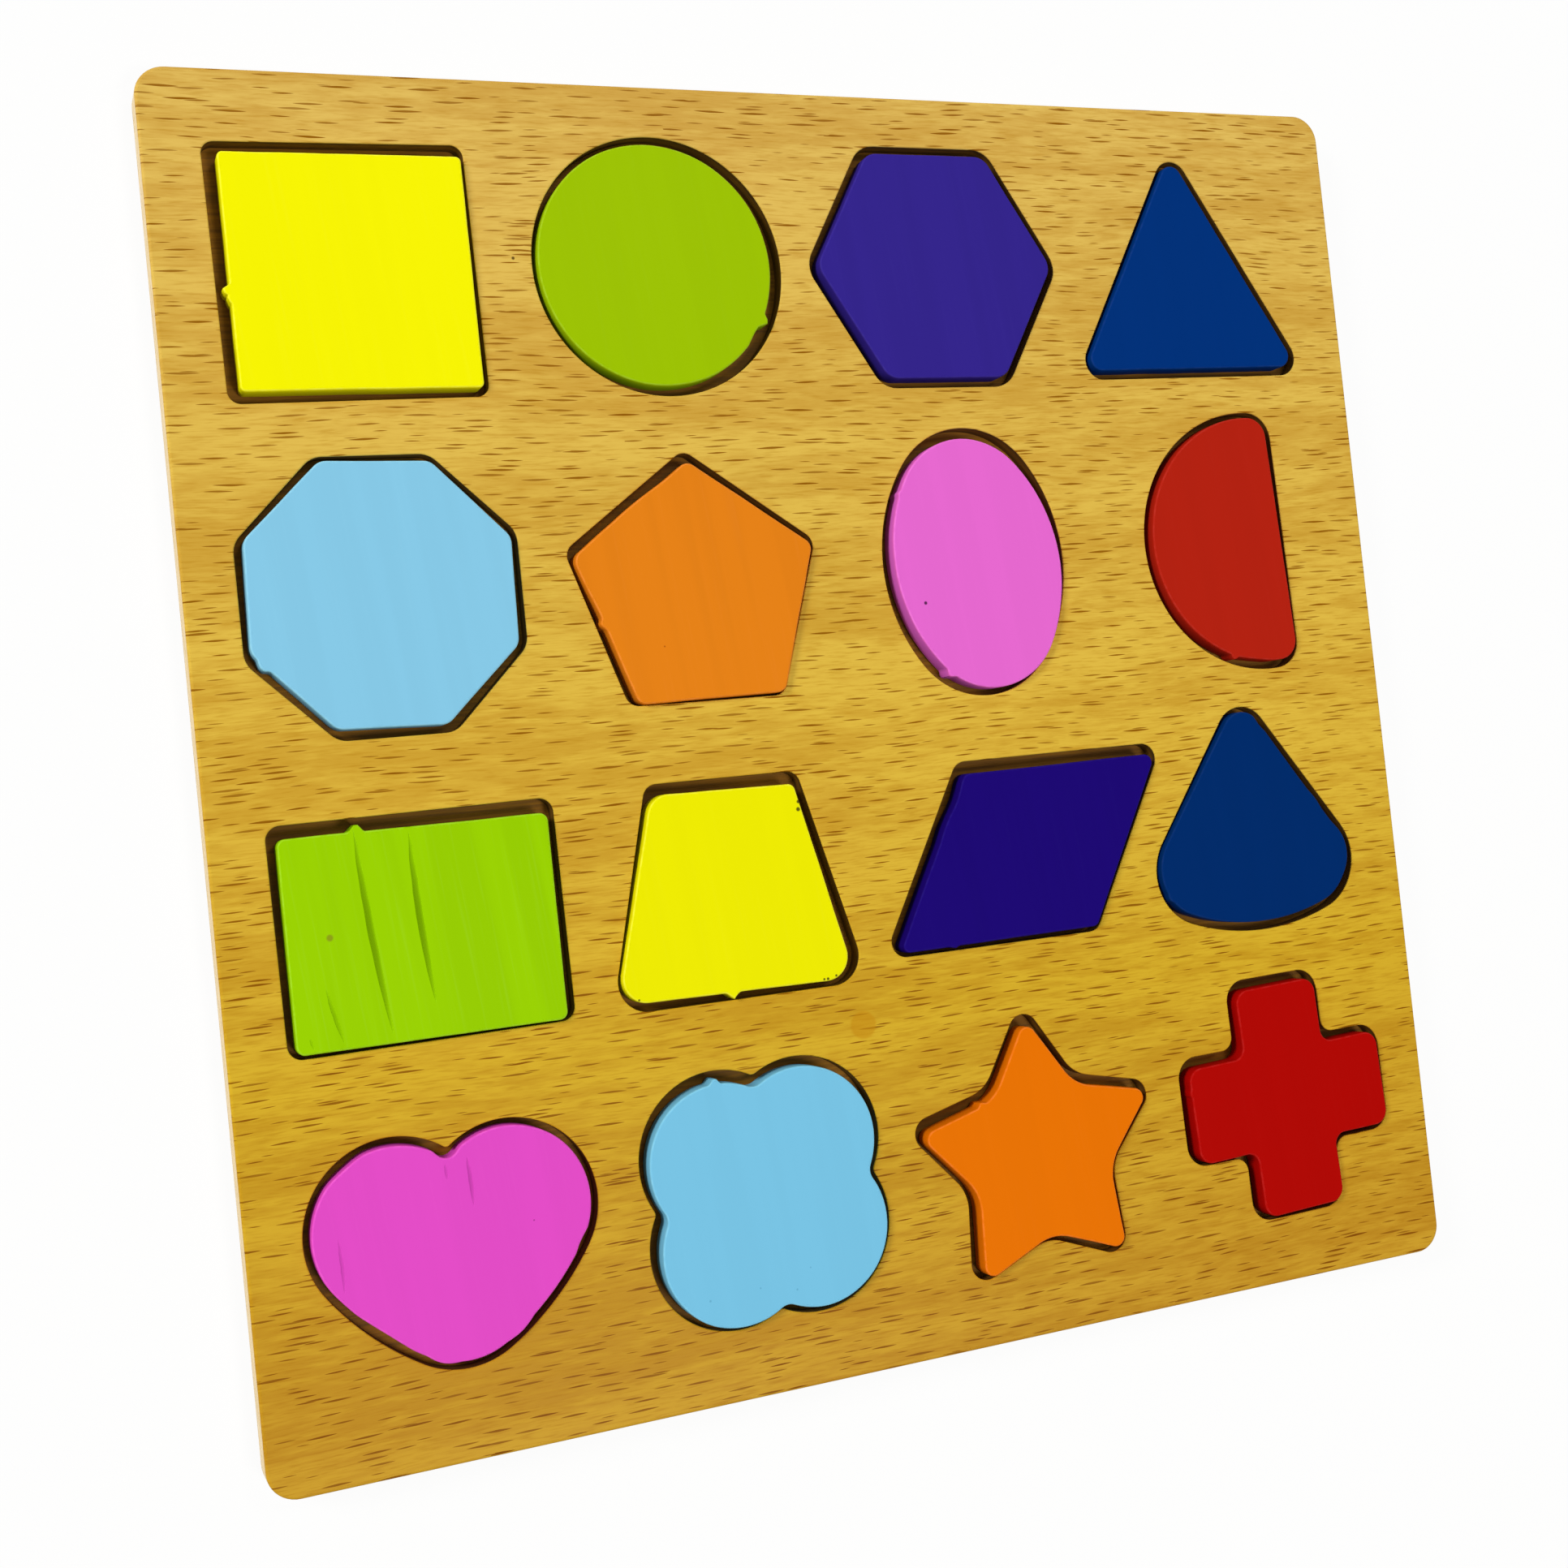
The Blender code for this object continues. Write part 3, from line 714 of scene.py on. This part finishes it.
def beechPrint():
    # Beech-pattern print under satin varnish on thin plywood: warm gold with fine level fibre
    # and the short brown ray flecks of beech, 2 to 6 mm long, under a faint even sheen.
    material, tree, shader, point = startMaterial("satinVarnishedBeechPrint")
    grain = wanderingGrain(tree, point)
    textures = {}
    for name, detail, roughness in (("cloud", 3.0, 0.55), ("fibre", 2.0, 0.6), ("band", 1.0, 0.5)):
        cell = addNode(tree, "ShaderNodeVectorMath", {0: grain, 1: beech[name]}, operation="DIVIDE")
        textures[name] = addNode(
            tree,
            "ShaderNodeTexNoise",
            {"Vector": cell, "Scale": 1.0, "Detail": detail, "Roughness": roughness},
        ).outputs["Fac"]
    both = addNode(tree, "ShaderNodeMath", {0: textures["cloud"], 1: textures["band"]}, operation="ADD")
    cloudy = addNode(
        tree,
        "ShaderNodeMapRange",
        {"Value": both, "From Min": 0.75, "From Max": 1.25},
        interpolation_type="SMOOTHSTEP",
    )
    tone = addNode(
        tree,
        "ShaderNodeMix",
        {0: cloudy, 6: hexColour(beech["deep"]), 7: hexColour(beech["pale"])},
        data_type="RGBA",
    )
    lines = addNode(
        tree,
        "ShaderNodeMapRange",
        {"Value": textures["fibre"], "From Min": 0.46, "From Max": 0.72, "To Max": beech["lineDepth"]},
        interpolation_type="SMOOTHSTEP",
    )
    tone = addNode(
        tree,
        "ShaderNodeMix",
        {0: lines, 6: tone.outputs[2], 7: hexColour(beech["line"])},
        data_type="RGBA",
    )
    flecks = rayFlecks(tree, grain)
    tone = addNode(
        tree,
        "ShaderNodeMix",
        {0: flecks, 6: tone.outputs[2], 7: hexColour(beech["fleck"])},
        data_type="RGBA",
    )
    half = board["side"] / 2
    upTheBoard = addNode(
        tree,
        "ShaderNodeMapRange",
        {
            "Value": addNode(tree, "ShaderNodeSeparateXYZ", {"Vector": point}).outputs["Y"],
            "From Min": -half,
            "From Max": half,
        },
    )
    # painted shade: darkens the print towards the lower edge, palest at the top for the sheen there
    paintedShadeRamp = addNode(tree, "ShaderNodeValToRGB", {"Fac": upTheBoard})
    stops = paintedShadeRamp.color_ramp.elements
    for i, (place, colour) in enumerate(beech["paintedShadeTints"]):
        stop = stops[i] if i < 2 else stops.new(1.0)
        stop.position = (place + half) / board["side"]
        stop.color = hexColour(colour)
    tone = addNode(
        tree,
        "ShaderNodeMix",
        {0: 1.0, 6: tone.outputs[2], 7: paintedShadeRamp.outputs["Color"]},
        data_type="RGBA",
        blend_type="MULTIPLY",
    )
    tone = addSpots(tree, tone, point, beech["spots"])

    height = addNode(
        tree,
        "ShaderNodeMath",
        {0: flecks, 1: -beech["fleckPit"], 2: textures["fibre"]},
        operation="MULTIPLY_ADD",
    )
    finishMaterial(tree, shader, tone, textures["cloud"], height, beech)
    return material


sawnEdges = {
    # painted shade: the cut-out walls get dark colours, the outer rim pale ones
    "cutOut": {"pale": "6C480C", "deep": "3A2608", "roughness": 0.605},
    "rim": {"pale": "F2E2C0", "deep": "D9BC88", "roughness": 0.705},
    "ply": 1.1,  # thickness of one ply
    "fibre": (3.0, 3.0, 0.3),  # size of the pattern along, up and through the board
    "sawMarks": (0.5, 0.5, 5.0),
    "patchy": 0.15,
    "gloss": 0.3,
    "bump": 0.5,
    "relief": 0.06,
}


def sawnPlywood(name, kind):
    # Sawn edge of thin basswood plywood, sanded lightly: matt, its plies as faint level bands,
    # with short upright saw marks. Inside the cut-outs it is painted dark brown, as painted shade for
    # the narrow recesses.
    material, tree, shader, point = startMaterial(name)
    textures = {}
    for texture, detail, roughness in (("fibre", 3.0, 0.6), ("sawMarks", 2.0, 0.5)):
        cell = addNode(
            tree, "ShaderNodeVectorMath", {0: point, 1: sawnEdges[texture]}, operation="DIVIDE"
        )
        textures[texture] = addNode(
            tree,
            "ShaderNodeTexNoise",
            {"Vector": cell, "Scale": 1.0, "Detail": detail, "Roughness": roughness},
        ).outputs["Fac"]
    height = addNode(tree, "ShaderNodeSeparateXYZ", {"Vector": point})
    ply = addNode(
        tree, "ShaderNodeMath", {0: height.outputs["Z"], 1: sawnEdges["ply"]}, operation="PINGPONG"
    )
    band = addNode(
        tree,
        "ShaderNodeMapRange",
        {"Value": ply, "From Min": 0.45, "From Max": 0.65, "To Max": 0.4},
        interpolation_type="SMOOTHSTEP",
    )
    streak = addNode(
        tree,
        "ShaderNodeMapRange",
        {"Value": textures["fibre"], "From Min": 0.3, "From Max": 0.7, "To Max": 0.6},
        interpolation_type="SMOOTHSTEP",
    )
    shade = addNode(tree, "ShaderNodeMath", {0: band, 1: streak}, operation="ADD")
    tone = addNode(
        tree,
        "ShaderNodeMix",
        {0: shade, 6: hexColour(kind["pale"]), 7: hexColour(kind["deep"])},
        data_type="RGBA",
    )
    relief = addNode(
        tree, "ShaderNodeMath", {0: textures["sawMarks"], 1: textures["fibre"]}, operation="ADD"
    )
    look = {**sawnEdges, **kind}
    finishMaterial(tree, shader, tone, textures["fibre"], relief, look)
    return material


backingWood = {
    # painted shade: the recess floors get dark colours, the underside pale ones
    "recess": {"pale": "9C680C", "deep": "6C4604"},
    "underside": {"pale": "E4CE9C", "deep": "C9AC74"},
    "fibre": (16.0, 0.5, 0.5),
    "cloud": (30.0, 12.0, 12.0),
    "roughness": 0.685,
    "patchy": 0.15,
    "gloss": 0.25,
    "bump": 0.4,
    "relief": 0.04,
}


def basswoodPly(name, colours):
    # Face of basswood plywood: matt, with long soft fibre along the board. It is raw on the
    # underside, and in the recesses it is painted dark brown as painted shade.
    material, tree, shader, point = startMaterial(name)
    textures = {}
    for texture in ("fibre", "cloud"):
        cell = addNode(
            tree, "ShaderNodeVectorMath", {0: point, 1: backingWood[texture]}, operation="DIVIDE"
        )
        textures[texture] = addNode(
            tree, "ShaderNodeTexNoise", {"Vector": cell, "Scale": 1.0, "Detail": 3.0, "Roughness": 0.6}
        ).outputs["Fac"]
    both = addNode(
        tree, "ShaderNodeMath", {0: textures["fibre"], 1: textures["cloud"]}, operation="MULTIPLY"
    )
    blend = addNode(
        tree,
        "ShaderNodeMapRange",
        {"Value": both, "From Min": 0.12, "From Max": 0.42},
        interpolation_type="SMOOTHSTEP",
    )
    tone = addNode(
        tree,
        "ShaderNodeMix",
        {0: blend, 6: hexColour(colours["deep"]), 7: hexColour(colours["pale"])},
        data_type="RGBA",
    )
    finishMaterial(tree, shader, tone, textures["fibre"], textures["fibre"], backingWood)
    return material


def quarterRound(height, radius, facing):
    # (z, outward move) from the wall round to a flat face, and the lip inside it
    levels, steps = [], 4
    for i in range(steps + 1):
        a = math.pi / 2 * i / steps
        levels.append((height - facing * radius * (1 - math.sin(a)), radius * (math.cos(a) - 1)))
    return levels + [(height, -radius - board["lip"])]


def wallAlong(mesh, rim, levels):
    # a wall through copies of the rim, one at each (z, outward move); returns its two end rings
    rings = []
    for z, out in levels:
        places = [(x + out * nx, y + out * ny, z) for x, y, nx, ny in rim]
        rings.append([mesh.verts.new([c * mm for c in place]) for place in places])
    for lower, upper in zip(rings, rings[1:]):
        for i in range(len(rim)):
            mesh.faces.new((lower[i - 1], lower[i], upper[i], upper[i - 1]))
    ends = (rings[0], rings[-1])
    return [[mesh.edges.get((ring[i - 1], ring[i])) for i in range(len(ring))] for ring in ends]


def finishedObject(name, mesh, materials):
    data = bpy.data.meshes.new(name)
    mesh.to_mesh(data)
    mesh.free()
    data.shade_smooth()
    data.set_sharp_from_angle(angle=math.radians(board["sharpAngle"]))
    for material in materials:
        data.materials.append(material)
    return newObject(name, data)


def makePanel(printed, cutOutEdge, rimEdge):
    mesh = bmesh.new()
    top, seam = board["faceZ"], board["floorZ"] + board["seam"]
    rim = walkRim(boxOutline(board["side"], board["side"], board["corner"]), board["rimSpacing"])
    levels = [(seam, 0.0)] + quarterRound(top, board["rimRounding"], 1)
    lowEdges, highEdges = wallAlong(mesh, rim, levels)
    rimFaces = len(mesh.faces)
    ease = board["easing"]
    for shape in shapes.values():
        hole = placedRim(shape, "cutOut", board["spacing"], board["play"])
        levels = [(seam, 0.0), (top - ease, 0.0), (top - ease * 0.3, ease * 0.3), (top, ease)]
        low, high = wallAlong(mesh, hole, levels + [(top, ease + board["lip"])])
        lowEdges += low
        highEdges += high
    wallFaces = len(mesh.faces)
    bmesh.ops.triangle_fill(mesh, edges=highEdges, use_beauty=True, normal=(0, 0, 1))
    bmesh.ops.triangle_fill(mesh, edges=lowEdges, use_beauty=True, normal=(0, 0, -1))
    bmesh.ops.recalc_face_normals(mesh, faces=mesh.faces)
    mesh.faces.ensure_lookup_table()
    for i, face in enumerate(mesh.faces):
        if i >= wallFaces or face.normal.z > 0.3:
            face.material_index = 0
        else:
            face.material_index = 2 if i < rimFaces else 1
    panel = finishedObject("beechPanel", mesh, [printed, cutOutEdge, rimEdge])
    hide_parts("top_panel")
    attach(panel, "board")
    print("panel:", len(panel.data.polygons), "faces")


def makeBacking(shadedRecessWood, raw, rimEdge):
    mesh = bmesh.new()
    rim = walkRim(boxOutline(board["side"], board["side"], board["corner"]), board["rimSpacing"])
    levels = quarterRound(0.0, board["rimRounding"], -1)[::-1]
    levels += [(board["floorZ"], 0.0), (board["floorZ"], -board["lip"])]
    low, high = wallAlong(mesh, rim, levels)
    bmesh.ops.triangle_fill(mesh, edges=low, use_beauty=True, normal=(0, 0, -1))
    bmesh.ops.triangle_fill(mesh, edges=high, use_beauty=True, normal=(0, 0, 1))
    bmesh.ops.recalc_face_normals(mesh, faces=mesh.faces)
    for face in mesh.faces:
        face.material_index = 0 if face.normal.z > 0.8 else 1 if face.normal.z < -0.8 else 2
    backing = finishedObject("backingBoard", mesh, [shadedRecessWood, raw, rimEdge])
    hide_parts("backing_board")
    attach(backing, "board")
    print("backing board:", len(backing.data.polygons), "faces")


# Loose shapes, sawn from 4 mm basswood plywood, sanded and painted

loose = {
    "bottomZ": 3.0,
    "thickness": 4.0,
    "rounding": 0.35,
    "spacing": 0.35,
    "waver": 0.06,  # how far hand sanding leaves the rim off its outline
    "waverLength": 7.0,
    "foot": 1.4,  # where a stub runs out into the rim, in half widths
    "sharpAngle": 35.0,
}

enamel = {
    "lean": 6.0,  # degrees that the wood's fibre leans off the board's upright
    "fibre": (0.6, 30.0, 6.0),
    "streak": (5.0, 120.0, 8.0),
    "peel": (1.1, 1.1, 1.1),
    "darker": 0.085,
    "paler": (1.15, 0.2),  # factor, and share of the mean added, for the paler fibre streaks and the painted highlight on the upper edge
    "edge": 0.35,  # strength of the painted highlight along the upper edge
    "grooveShade": 0.5,  # factor for the painted shade in a groove
    "roughness": 0.38,
    "patchy": 0.12,
    "gloss": 0.01,
    "bump": 0.2,
    "relief": 0.02,
}


def paintedEdgeHighlight(tree, point, peel):
    # painted highlight: a paler colour only along the rounding of the upper edge, and there in patches
    top = loose["bottomZ"] + loose["thickness"]
    height = addNode(tree, "ShaderNodeSeparateXYZ", {"Vector": point}).outputs["Z"]
    rise = addNode(
        tree,
        "ShaderNodeMapRange",
        {"Value": height, "From Min": top - 0.3, "From Max": top - 0.12},
        interpolation_type="SMOOTHSTEP",
    )
    fall = addNode(
        tree,
        "ShaderNodeMapRange",
        {"Value": height, "From Min": top - 0.02, "From Max": top - 0.003, "To Min": 1.0, "To Max": 0.0},
        interpolation_type="SMOOTHSTEP",
    )
    edge = addNode(tree, "ShaderNodeMath", {0: rise, 1: fall}, operation="MULTIPLY")
    highlightPatches = addNode(
        tree,
        "ShaderNodeMapRange",
        {
            "Value": peel,
            "From Min": 0.35,
            "From Max": 0.65,
            "To Min": 0.3 * enamel["edge"],
            "To Max": enamel["edge"],
        },
        interpolation_type="SMOOTHSTEP",
    )
    return addNode(tree, "ShaderNodeMath", {0: edge, 1: highlightPatches}, operation="MULTIPLY")


def toyEnamel(name, shape, seed):
    # Water-based toy enamel sprayed on sanded basswood: a strong even colour with little shine,
    # in which the wood's fibre just shows as long streaks, with a painted highlight along the upper
    # edge.
    material, tree, shader, point = startMaterial("toyEnamel_" + name)
    turned = addNode(
        tree,
        "ShaderNodeMapping",
        {
            "Vector": point,
            "Location": (seed * 37.0, seed * 91.0, 0.0),
            "Rotation": (0.0, 0.0, -math.radians(enamel["lean"])),
        },
    )
    textures = {}
    for texture, detail in (("fibre", 3.0), ("streak", 2.0), ("peel", 1.0)):
        cell = addNode(
            tree, "ShaderNodeVectorMath", {0: turned, 1: enamel[texture]}, operation="DIVIDE"
        )
        textures[texture] = addNode(
            tree,
            "ShaderNodeTexNoise",
            {"Vector": cell, "Scale": 1.0, "Detail": detail, "Roughness": 0.55},
        ).outputs["Fac"]
    base = hexColour(shape["paint"])
    darker = (*[c * (1 - enamel["darker"]) for c in base[:3]], 1.0)
    factor, added = enamel["paler"]
    paler = (*[min(1.0, c * factor + added * sum(base[:3]) / 3) for c in base[:3]], 1.0)
    grooveShade = (*[c * enamel["grooveShade"] for c in base[:3]], 1.0)
    streaky = addNode(
        tree,
        "ShaderNodeMapRange",
        {"Value": textures["streak"], "From Min": 0.38, "From Max": 0.6, "To Min": 1 - shape["grain"]},
        interpolation_type="SMOOTHSTEP",
    )
    tone = addNode(tree, "ShaderNodeMix", {0: streaky, 6: darker, 7: base}, data_type="RGBA")
    fibrous = addNode(
        tree,
        "ShaderNodeMapRange",
        {
            "Value": textures["fibre"],
            "From Min": 0.52,
            "From Max": 0.8,
            "To Max": 0.14 * shape["grain"],
        },
        interpolation_type="SMOOTHSTEP",
    )
    tone = addNode(tree, "ShaderNodeMix", {0: fibrous, 6: tone.outputs[2], 7: paler}, data_type="RGBA")
    edge = paintedEdgeHighlight(tree, point, textures["peel"])
    inGroove = addNode(tree, "ShaderNodeAttribute", attribute_name="inGroove")
    outside = addNode(
        tree,
        "ShaderNodeMapRange",
        {"Value": inGroove.outputs["Fac"], "From Max": 0.08, "To Min": 1.0, "To Max": 0.0},
    )
    edge = addNode(tree, "ShaderNodeMath", {0: edge, 1: outside}, operation="MULTIPLY")
    # painted highlight: paler colour along the upper edge, left out in the grooves
    tone = addNode(tree, "ShaderNodeMix", {0: edge, 6: tone.outputs[2], 7: paler}, data_type="RGBA")
    # painted shade: darker towards the floor of each groove
    if "grooves" in shape:
        tone = addNode(
            tree,
            "ShaderNodeMix",
            {0: inGroove.outputs["Fac"], 6: tone.outputs[2], 7: grooveShade},
            data_type="RGBA",
        )
    chips = [(*placed(shape["lies"], x, y), *chip) for x, y, *chip in shape.get("chips", [])]
    tone = addSpots(tree, tone, point, chips)
    relief = addNode(
        tree,
        "ShaderNodeMath",
        {0: textures["fibre"], 1: 0.7, 2: textures["peel"]},
        operation="MULTIPLY_ADD",
    )
    finishMaterial(tree, shader, tone, textures["peel"], relief, enamel)
    return material


def sandedRim(shape, seed):
    # the outline as hand sanding left it, with the stubs of its tabs
    worn = []
    for x, y, nx, ny in placedRim(shape, "lies", loose["spacing"]):
        along = loose["waverLength"]
        out = loose["waver"] * noise.noise((x / along, y / along, seed * 3.7))
        for key, peak, crumble in (("tabs", 2.2, 0.5), ("sanded", 1.5, 0.0)):
            for placeX, placeY, width, height in shape.get(key, []):
                away = math.dist((x, y), placed(shape["lies"], placeX, placeY))
                away /= loose["foot"] * width
                if away < 1:
                    crumbs = 1.0 + crumble * noise.noise((x * 1.9, y * 1.9, seed))
                    out += height * (1 - away**2) ** peak * crumbs
        worn.append((x + out * nx, y + out * ny, nx, ny))
    return worn


def sawnShapeTree():
    # Geometry Nodes: raises a flat outline to a board with rounded edges, ring by ring. The
    # attribute "outward" tells each point which way is out of the wood.
    tree = bpy.data.node_groups.new("sawnShape", "GeometryNodeTree")
    sockets = tree.interface
    sockets.new_socket("Outline", in_out="INPUT", socket_type="NodeSocketGeometry")
    for name in ("Thickness", "Edge rounding"):
        sockets.new_socket(name, in_out="INPUT", socket_type="NodeSocketFloat")
    sockets.new_socket("Paint", in_out="INPUT", socket_type="NodeSocketMaterial")
    sockets.new_socket("Shape", in_out="OUTPUT", socket_type="NodeSocketGeometry")
    given = addNode(tree, "NodeGroupInput")
    rounding = given.outputs["Edge rounding"]
    outward = addNode(
        tree, "GeometryNodeInputNamedAttribute", {"Name": "outward"}, data_type="FLOAT_VECTOR"
    ).outputs["Attribute"]
    twice = addNode(tree, "ShaderNodeMath", {0: rounding, 1: 2.0}, operation="MULTIPLY")
    wall = addNode(
        tree, "ShaderNodeMath", {0: given.outputs["Thickness"], 1: twice}, operation="SUBTRACT"
    )

    steps, flat = 5, 0.2
    angles = [math.pi / 2 * i / steps for i in range(steps + 1)]
    places = [(math.sin(a), math.cos(a)) for a in angles]
    turns = [(rise - z, out - inner) for (z, inner), (rise, out) in zip(places, places[1:])]
    # (rise, outward move) of each ring in shares of the rounding, from the under face to the top
    rings = [(0.0, flat)] + [(-move, rise) for rise, move in turns]
    rings += [(None, 0.0)] + turns + [(0.0, -flat)]

    inset = addNode(tree, "ShaderNodeMath", {0: rounding, 1: -1.0 - flat}, operation="MULTIPLY")
    step = addNode(tree, "ShaderNodeVectorMath", {0: outward, "Scale": inset}, operation="SCALE")
    under = addNode(
        tree, "GeometryNodeSetPosition", {"Geometry": given.outputs["Outline"], "Offset": step}
    )
    grown, cap = under, True
    for rise, move in rings:
        height = wall
        if rise is not None:
            height = addNode(tree, "ShaderNodeMath", {0: rounding, 1: rise}, operation="MULTIPLY")
        up = addNode(tree, "ShaderNodeCombineXYZ", {"Z": height})
        raised = addNode(
            tree,
            "GeometryNodeExtrudeMesh",
            {"Mesh": grown, "Selection": cap, "Offset": up, "Individual": False},
            mode="FACES",
        )
        reach = addNode(tree, "ShaderNodeMath", {0: rounding, 1: move}, operation="MULTIPLY")
        step = addNode(tree, "ShaderNodeVectorMath", {0: outward, "Scale": reach}, operation="SCALE")
        cap = raised.outputs["Top"]
        grown = addNode(
            tree,
            "GeometryNodeSetPosition",
            {"Geometry": raised.outputs["Mesh"], "Selection": cap, "Offset": step},
        )
    flipped = addNode(tree, "GeometryNodeFlipFaces", {"Mesh": under})
    joined = addNode(tree, "GeometryNodeJoinGeometry", {"Geometry": grown})
    tree.links.new(flipped.outputs[0], joined.inputs["Geometry"])
    welded = addNode(tree, "GeometryNodeMergeByDistance", {"Geometry": joined, "Distance": 1e-6})
    bare = addNode(tree, "GeometryNodeRemoveAttribute", {"Geometry": welded, "Name": "outward"})
    real = addNode(tree, "GeometryNodeRealizeInstances", {"Geometry": bare})
    painted = addNode(
        tree, "GeometryNodeSetMaterial", {"Geometry": real, "Material": given.outputs["Paint"]}
    )
    addNode(tree, "NodeGroupOutput", {"Shape": painted})
    return tree


def grooveLine(shape, number, groove):
    # points down the middle of a groove: (x, y, share of its full width and depth)
    x1, y1, x2, y2, _, _, bend = groove
    x1, y1 = placed(shape["lies"], x1, y1)
    x2, y2 = placed(shape["lies"], x2, y2)
    length = math.dist((x1, y1), (x2, y2))
    alongX, alongY = (x2 - x1) / length, (y2 - y1) / length
    steps = max(12, int(length / 0.8))
    line = []
    for k in range(steps + 1):
        t = k / steps
        bow = bend * math.sin(math.pi * t) + 0.1 * noise.noise((t * 9.0, number, 0.0))
        x, y = x1 + (x2 - x1) * t - alongY * bow, y1 + (y2 - y1) * t + alongX * bow
        line.append((x, y, max(0.04, math.sin(math.pi * t) ** 0.6)))
    return line


def grooveCutter(shape, number, groove):
    # a slim spindle that lies in the top face, pointed at both ends
    halfWidth, depth = groove[4:6]
    line = grooveLine(shape, number, groove)
    alongX, alongY = line[-1][0] - line[0][0], line[-1][1] - line[0][1]
    acrossX, acrossY = -alongY / math.hypot(alongX, alongY), alongX / math.hypot(alongX, alongY)
    top = loose["bottomZ"] + loose["thickness"]
    mesh = bmesh.new()
    rings, sides = [], 10
    for x, y, swell in line:
        ring = []
        for i in range(sides):
            a = math.tau * i / sides
            side, rise = halfWidth * swell * math.cos(a), math.sin(a)
            rise *= depth * swell if rise < 0 else 0.3
            corner = (x + acrossX * side, y + acrossY * side, top + rise)
            ring.append(mesh.verts.new([c * mm for c in corner]))
        rings.append(ring)
    for first, second in zip(rings, rings[1:]):
        for i in range(sides):
            mesh.faces.new((first[i - 1], first[i], second[i], second[i - 1]))
    mesh.faces.new(rings[0])
    mesh.faces.new(rings[-1])
    bmesh.ops.recalc_face_normals(mesh, faces=mesh.faces)
    return finishedObject("grooveCutter", mesh, [])


def markGrooves(solid, shape):
    # the attribute "inGroove" is 1 on the floor of a groove and 0 on the face round it
    marks = solid.attributes.new("inGroove", "FLOAT", "POINT")
    top = loose["bottomZ"] + loose["thickness"]
    for number, groove in enumerate(shape.get("grooves", [])):
        halfWidth, depth = groove[4:6]
        line = grooveLine(shape, number, groove)
        for vertex in solid.vertices:
            x, y, z = [c / mm for c in vertex.co]
            below = (top - z) / depth
            if below > 0.05 and min(math.dist((x, y), p[:2]) for p in line) < halfWidth + 0.3:
                marks.data[vertex.index].value = min(1.0, below) * min(1.0, depth / 0.25)


def makeShape(name, shape, tree, seed):
    material = toyEnamel(name, shape, seed)
    rim = sandedRim(shape, seed)
    data = bpy.data.meshes.new(name + "Outline")
    corners = [(x * mm, y * mm, loose["bottomZ"] * mm) for x, y, _, _ in rim]
    data.from_pydata(corners, [], [range(len(rim))])
    outward = data.attributes.new("outward", "FLOAT_VECTOR", "POINT")
    for point, (_, _, nx, ny) in zip(outward.data, rim):
        point.vector = (nx, ny, 0.0)
    blank = newObject(name + "Outline", data)
    raising = blank.modifiers.new("sawnShape", "NODES")
    raising.node_group = tree
    sockets = {item.name: item.identifier for item in tree.interface.items_tree}
    raising[sockets["Thickness"]] = loose["thickness"] * mm
    raising[sockets["Edge rounding"]] = loose["rounding"] * mm
    raising[sockets["Paint"]] = material
    grooves = enumerate(shape.get("grooves", []))
    cutters = [grooveCutter(shape, number, groove) for number, groove in grooves]
    for cutter in cutters:
        cutting = blank.modifiers.new("groove", "BOOLEAN")
        cutting.operation = "DIFFERENCE"
        cutting.solver = "EXACT"
        cutting.object = cutter
    raised = blank.evaluated_get(bpy.context.evaluated_depsgraph_get())
    solid = bpy.data.meshes.new_from_object(raised)
    solid.name = name + "Shape"
    solid.materials.clear()
    solid.materials.append(material)
    for polygon in solid.polygons:
        polygon.material_index = 0
    if cutters:
        markGrooves(solid, shape)
    solid.shade_smooth()
    solid.set_sharp_from_angle(angle=math.radians(loose["sharpAngle"]))
    piece = newObject(name + "Shape", solid)
    blank.modifiers.clear()
    for old in [blank] + cutters:
        bpy.data.objects.remove(old)
    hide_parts(name + "_piece")
    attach(piece, name)
    return len(solid.polygons)


makeCamera()
makeSoftboxes()
makeSky()
makeFloor()
print("camera, light and floor are set")

rimEdge = sawnPlywood("sawnBasswoodRim", sawnEdges["rim"])
makePanel(beechPrint(), sawnPlywood("shadedCutOutEdge", sawnEdges["cutOut"]), rimEdge)
shadedRecessWood = basswoodPly("shadedRecessBasswood", backingWood["recess"])
makeBacking(shadedRecessWood, basswoodPly("rawBasswood", backingWood["underside"]), rimEdge)

shapeTree = sawnShapeTree()
for number, (name, shape) in enumerate(shapes.items()):
    print(name, "shape:", makeShape(name, shape, shapeTree, number + 1), "faces")

bpy.context.scene.view_settings.view_transform = "Standard"
